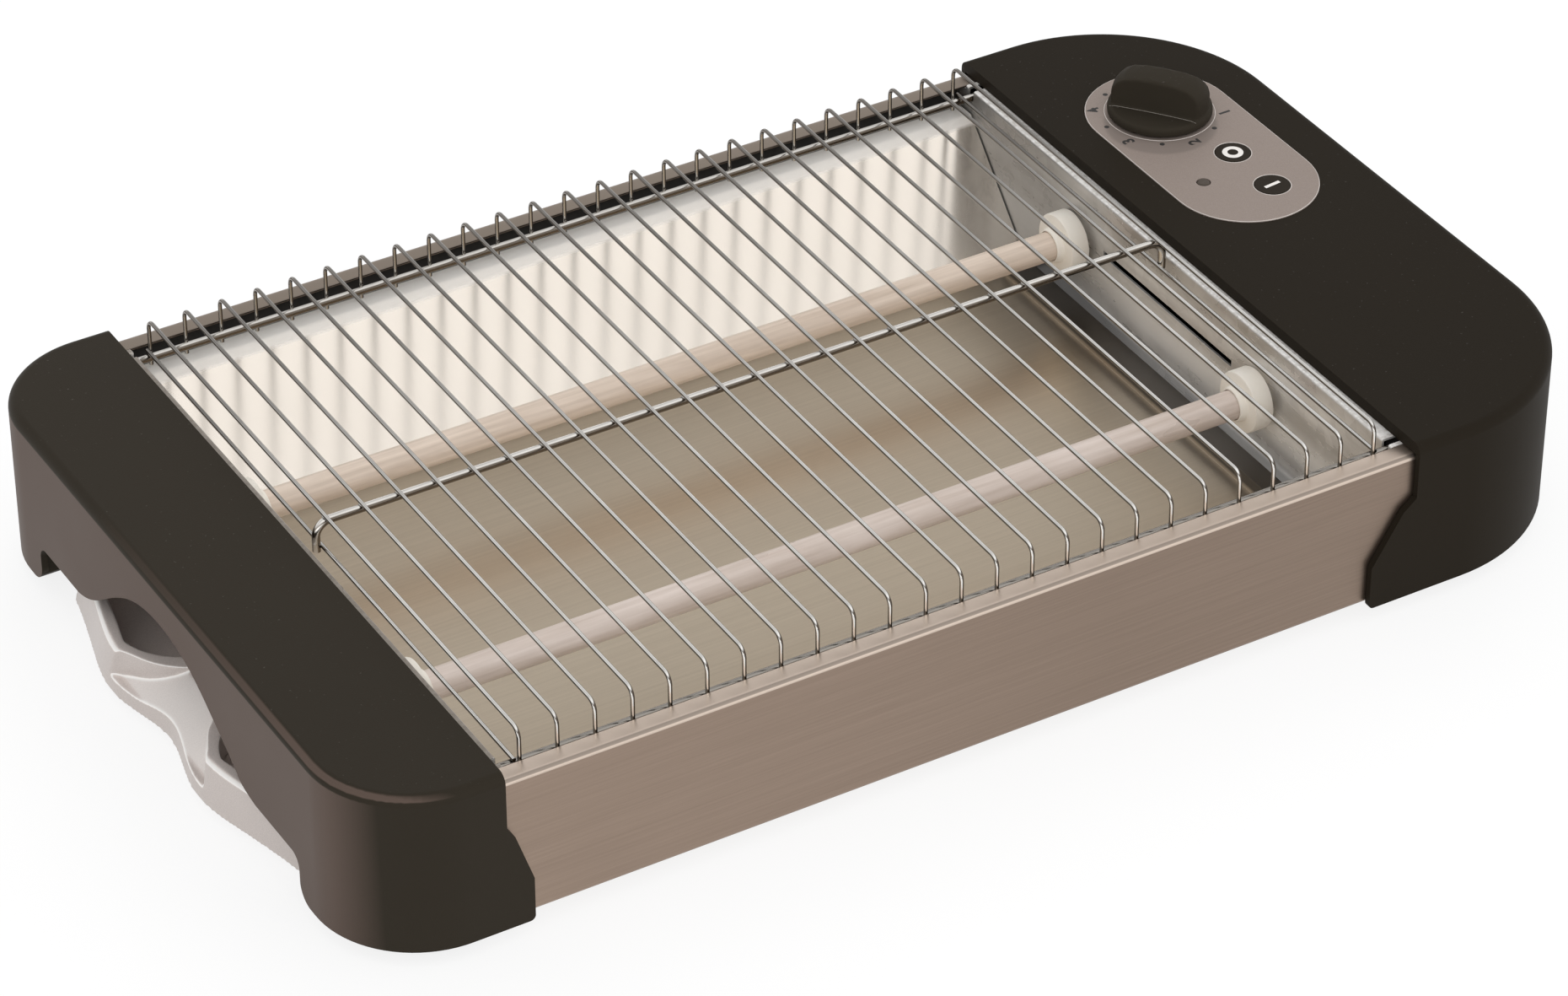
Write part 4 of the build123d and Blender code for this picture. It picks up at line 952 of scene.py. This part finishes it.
plateMarks = {"digitSize": 5.0, "digitRadius": 19.3, "digitSpread": 0.17, "dotRadius": 18.2, "dotSize": 0.76,
              "inkHeight": 0.02, "digitTurn": 90, "digits": (("4", 147.5), ("3", 208.5), ("2", 268.5), ("1", 328.0)),
              "dots": (118.5, 178.0, 238.8, 298.5),
              "ringOuter": 3.1, "ringInner": 1.6, "barLength": 5.4, "barWidth": 1.15, "barTurn": 6.0}
thinEdges = {"rim": 0.16, "knobRing": 16.35, "knobSink": 0.4, "holeRing": 5.55, "holeSink": 0.6, "sides": 3}


def pointAt(centre, radius, turn):
    return (centre[0] + radius * math.cos(turn), centre[1] + radius * math.sin(turn))


def circlePoints(centre, radius, count=48):
    return [pointAt(centre, radius, math.tau * step / count) for step in range(count)]


def printedShape(name, loops, level, finish, body):
    curve = bpy.data.curves.new(name, "CURVE")
    curve.dimensions = "2D"
    curve.fill_mode = "BOTH"
    curve.extrude = plateMarks["inkHeight"] * mm
    for loop in loops:
        addLoop(curve, [(x, y, 0.0) for x, y in loop], True)
    placePrint(name, curve, (0.0, 0.0, level), 0.0, finish, body)


def placePrint(name, data, place, turn, finish, body):
    data.materials.append(finishes[finish])
    piece = linkNew(name, data)
    piece.location = place
    piece.rotation_euler = (0.0, 0.0, turn)
    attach(piece, body)


def stadiumPoints(low, high, inset, steps=24):
    radius = (high.x - low.x) / 2 - inset
    middleX = (low.x + high.x) / 2
    ends = ((high.y - inset - radius, 0.0), (low.y + inset + radius, math.pi))
    return [pointAt((middleX, endY), radius, start + math.pi * step / steps)
            for endY, start in ends for step in range(steps + 1)]


def boxMiddle(name):
    low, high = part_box(name)
    return ((low.x + high.x) / 2, (low.y + high.y) / 2), high.z


def buildPlateMarks():
    look = plateMarks
    low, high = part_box("control_plate")
    spindleLow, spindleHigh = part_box("knob_spindle")
    centre = ((spindleLow.x + spindleHigh.x) / 2, knobCentre[1])
    level = high.z

    for digit, angle in look["digits"]:
        text = bpy.data.curves.new("dialDigit" + digit, "FONT")
        text.body = digit
        text.size = look["digitSize"] * mm
        text.extrude = look["inkHeight"] * mm
        text.offset = look["digitSpread"] * mm
        text.align_x = "CENTER"
        text.align_y = "CENTER"
        place = (*pointAt(centre, look["digitRadius"] * mm, math.radians(angle)), level)
        turn = math.radians(look["digitTurn"])
        placePrint("dial_digit_" + digit, text, place, turn, "printDark", "body")

    dots = [circlePoints(pointAt(centre, look["dotRadius"] * mm, math.radians(angle)),
                         look["dotSize"] * mm, count=20) for angle in look["dots"]]
    printedShape("dial_dots", dots, level, "printDark", "body")

    stopMiddle, stopTop = boxMiddle("stop_button")
    ring = [circlePoints(stopMiddle, look[key] * mm) for key in ("ringOuter", "ringInner")]
    printedShape("stop_mark", ring, stopTop, "printWhite", "stop_button")

    startMiddle, startTop = boxMiddle("start_button")
    turn = math.radians(look["barTurn"])
    half, wide = look["barLength"] / 2 * mm, look["barWidth"] / 2 * mm
    corners = ((-half, -wide), (half, -wide), (half, wide), (-half, wide))
    bar = [(startMiddle[0] + x * math.cos(turn) - y * math.sin(turn),
            startMiddle[1] + x * math.sin(turn) + y * math.cos(turn)) for x, y in corners]
    printedShape("start_mark", [bar], startTop, "printWhite", "start_button")

    # thin light tubes round the plate's rim, the knob and the button holes, as painted highlights
    rim = thinEdges["rim"] * mm
    flatLoops = [(stadiumPoints(low, high, rim), level - rim),
                 (circlePoints(centre, thinEdges["knobRing"] * mm, count=64), level - rim * thinEdges["knobSink"])]
    for middle in (stopMiddle, startMiddle):
        flatLoops.append((circlePoints(middle, thinEdges["holeRing"] * mm, count=40),
                          level - rim * thinEdges["holeSink"]))
    loops = [[(x, y, height) for x, y in loop] for loop, height in flatLoops]
    tubeCurve("plate_edges", loops, rim, "rimSilver", "body", thinEdges["sides"], closed=True)

    tubeCurve("knob_grip_highlight", [gripPath(knobPlace)], gripLook["radius"] * mm, "edgeWorn", "timer_knob",
              thinEdges["sides"])
    print("plate marks built")


buildPlateMarks()


# Floor, backdrop and light

studio = {"front": 1.02, "rear": 0.58, "frontToRear": (-0.5, 0.6),
          "horizonLift": 0.45, "liftFade": (0.30, 0.50), "horizonGap": 0.22, "gapFade": (0.02, 0.10),
          "floorSize": 14.0, "floorTone": 0.90, "floorRoughness": 0.9, "floorWhite": 1.06, "floorShare": 0.78,
          "backPlace": (0.75, 1.15, 1.30), "backSize": (1.7, 1.3), "backPower": 7.5}


def seesBackdrop(tree):
    path = tree.nodes.new("ShaderNodeLightPath")
    seen = larger(tree, path.outputs["Is Camera Ray"], path.outputs["Is Glossy Ray"])
    return larger(tree, seen, path.outputs["Is Transmission Ray"])


def makeFloor():
    half = studio["floorSize"] / 2
    mesh = bpy.data.meshes.new("studioFloor")
    mesh.from_pydata([(-half, -half, 0), (half, -half, 0), (half, half, 0), (-half, half, 0)], [], [(0, 1, 2, 3)])
    linkNew("studioFloor", mesh)
    material, tree, shader = freshMaterial("studioFloor")
    tone = studio["floorTone"]
    shader.inputs["Base Color"].default_value = (tone, tone, tone, 1.0)
    shader.inputs["Roughness"].default_value = studio["floorRoughness"]
    shader.inputs["Specular IOR Level"].default_value = 0.0
    glow = tree.nodes.new("ShaderNodeEmission")
    glow.inputs["Strength"].default_value = studio["floorWhite"]
    mix = tree.nodes.new("ShaderNodeMixShader")
    tree.links.new(product(tree, seesBackdrop(tree), studio["floorShare"]), mix.inputs["Fac"])
    tree.links.new(shader.outputs["BSDF"], mix.inputs[1])
    tree.links.new(glow.outputs["Emission"], mix.inputs[2])
    output = next(node for node in tree.nodes if node.type == "OUTPUT_MATERIAL")
    tree.links.new(mix.outputs["Shader"], output.inputs["Surface"])
    mesh.materials.append(material)


def makeWorld():
    world = bpy.data.worlds.new("studioWorld")
    bpy.context.scene.world = world
    world.use_nodes = True
    tree = world.node_tree
    tree.nodes.clear()
    output = tree.nodes.new("ShaderNodeOutputWorld")
    sky = splitAxes(tree, tree.nodes.new("ShaderNodeTexCoord").outputs["Generated"])
    level = mapRange(tree, sky["Y"], *studio["frontToRear"], studio["front"], studio["rear"])
    lift = mapRange(tree, sky["Z"], *studio["liftFade"], studio["horizonLift"], 0.0)
    gap = mapRange(tree, sky["Z"], *studio["gapFade"], studio["horizonGap"], 1.0)
    level = product(tree, mathNode(tree, "ADD", level, lift), gap)
    path = tree.nodes.new("ShaderNodeLightPath")
    colour = mixColour(tree, path.outputs["Is Camera Ray"], level, (1.0, 1.0, 1.0))
    light = tree.nodes.new("ShaderNodeBackground")
    tree.links.new(colour, light.inputs["Color"])
    tree.links.new(light.outputs["Background"], output.inputs["Surface"])


def makeLamp(name, place, size, power):
    data = bpy.data.lights.new(name, "AREA")
    data.shape = "RECTANGLE"
    data.size, data.size_y = size
    data.energy = power
    lamp = linkNew(name, data)
    lamp.location = place
    aim(lamp, -Vector(place))
    lamp.visible_camera = False
    lamp.visible_glossy = False


makeFloor()
makeWorld()
makeLamp("backPanel", studio["backPlace"], studio["backSize"], studio["backPower"])
bpy.context.scene.view_settings.view_transform = "Standard"
print("studio built")
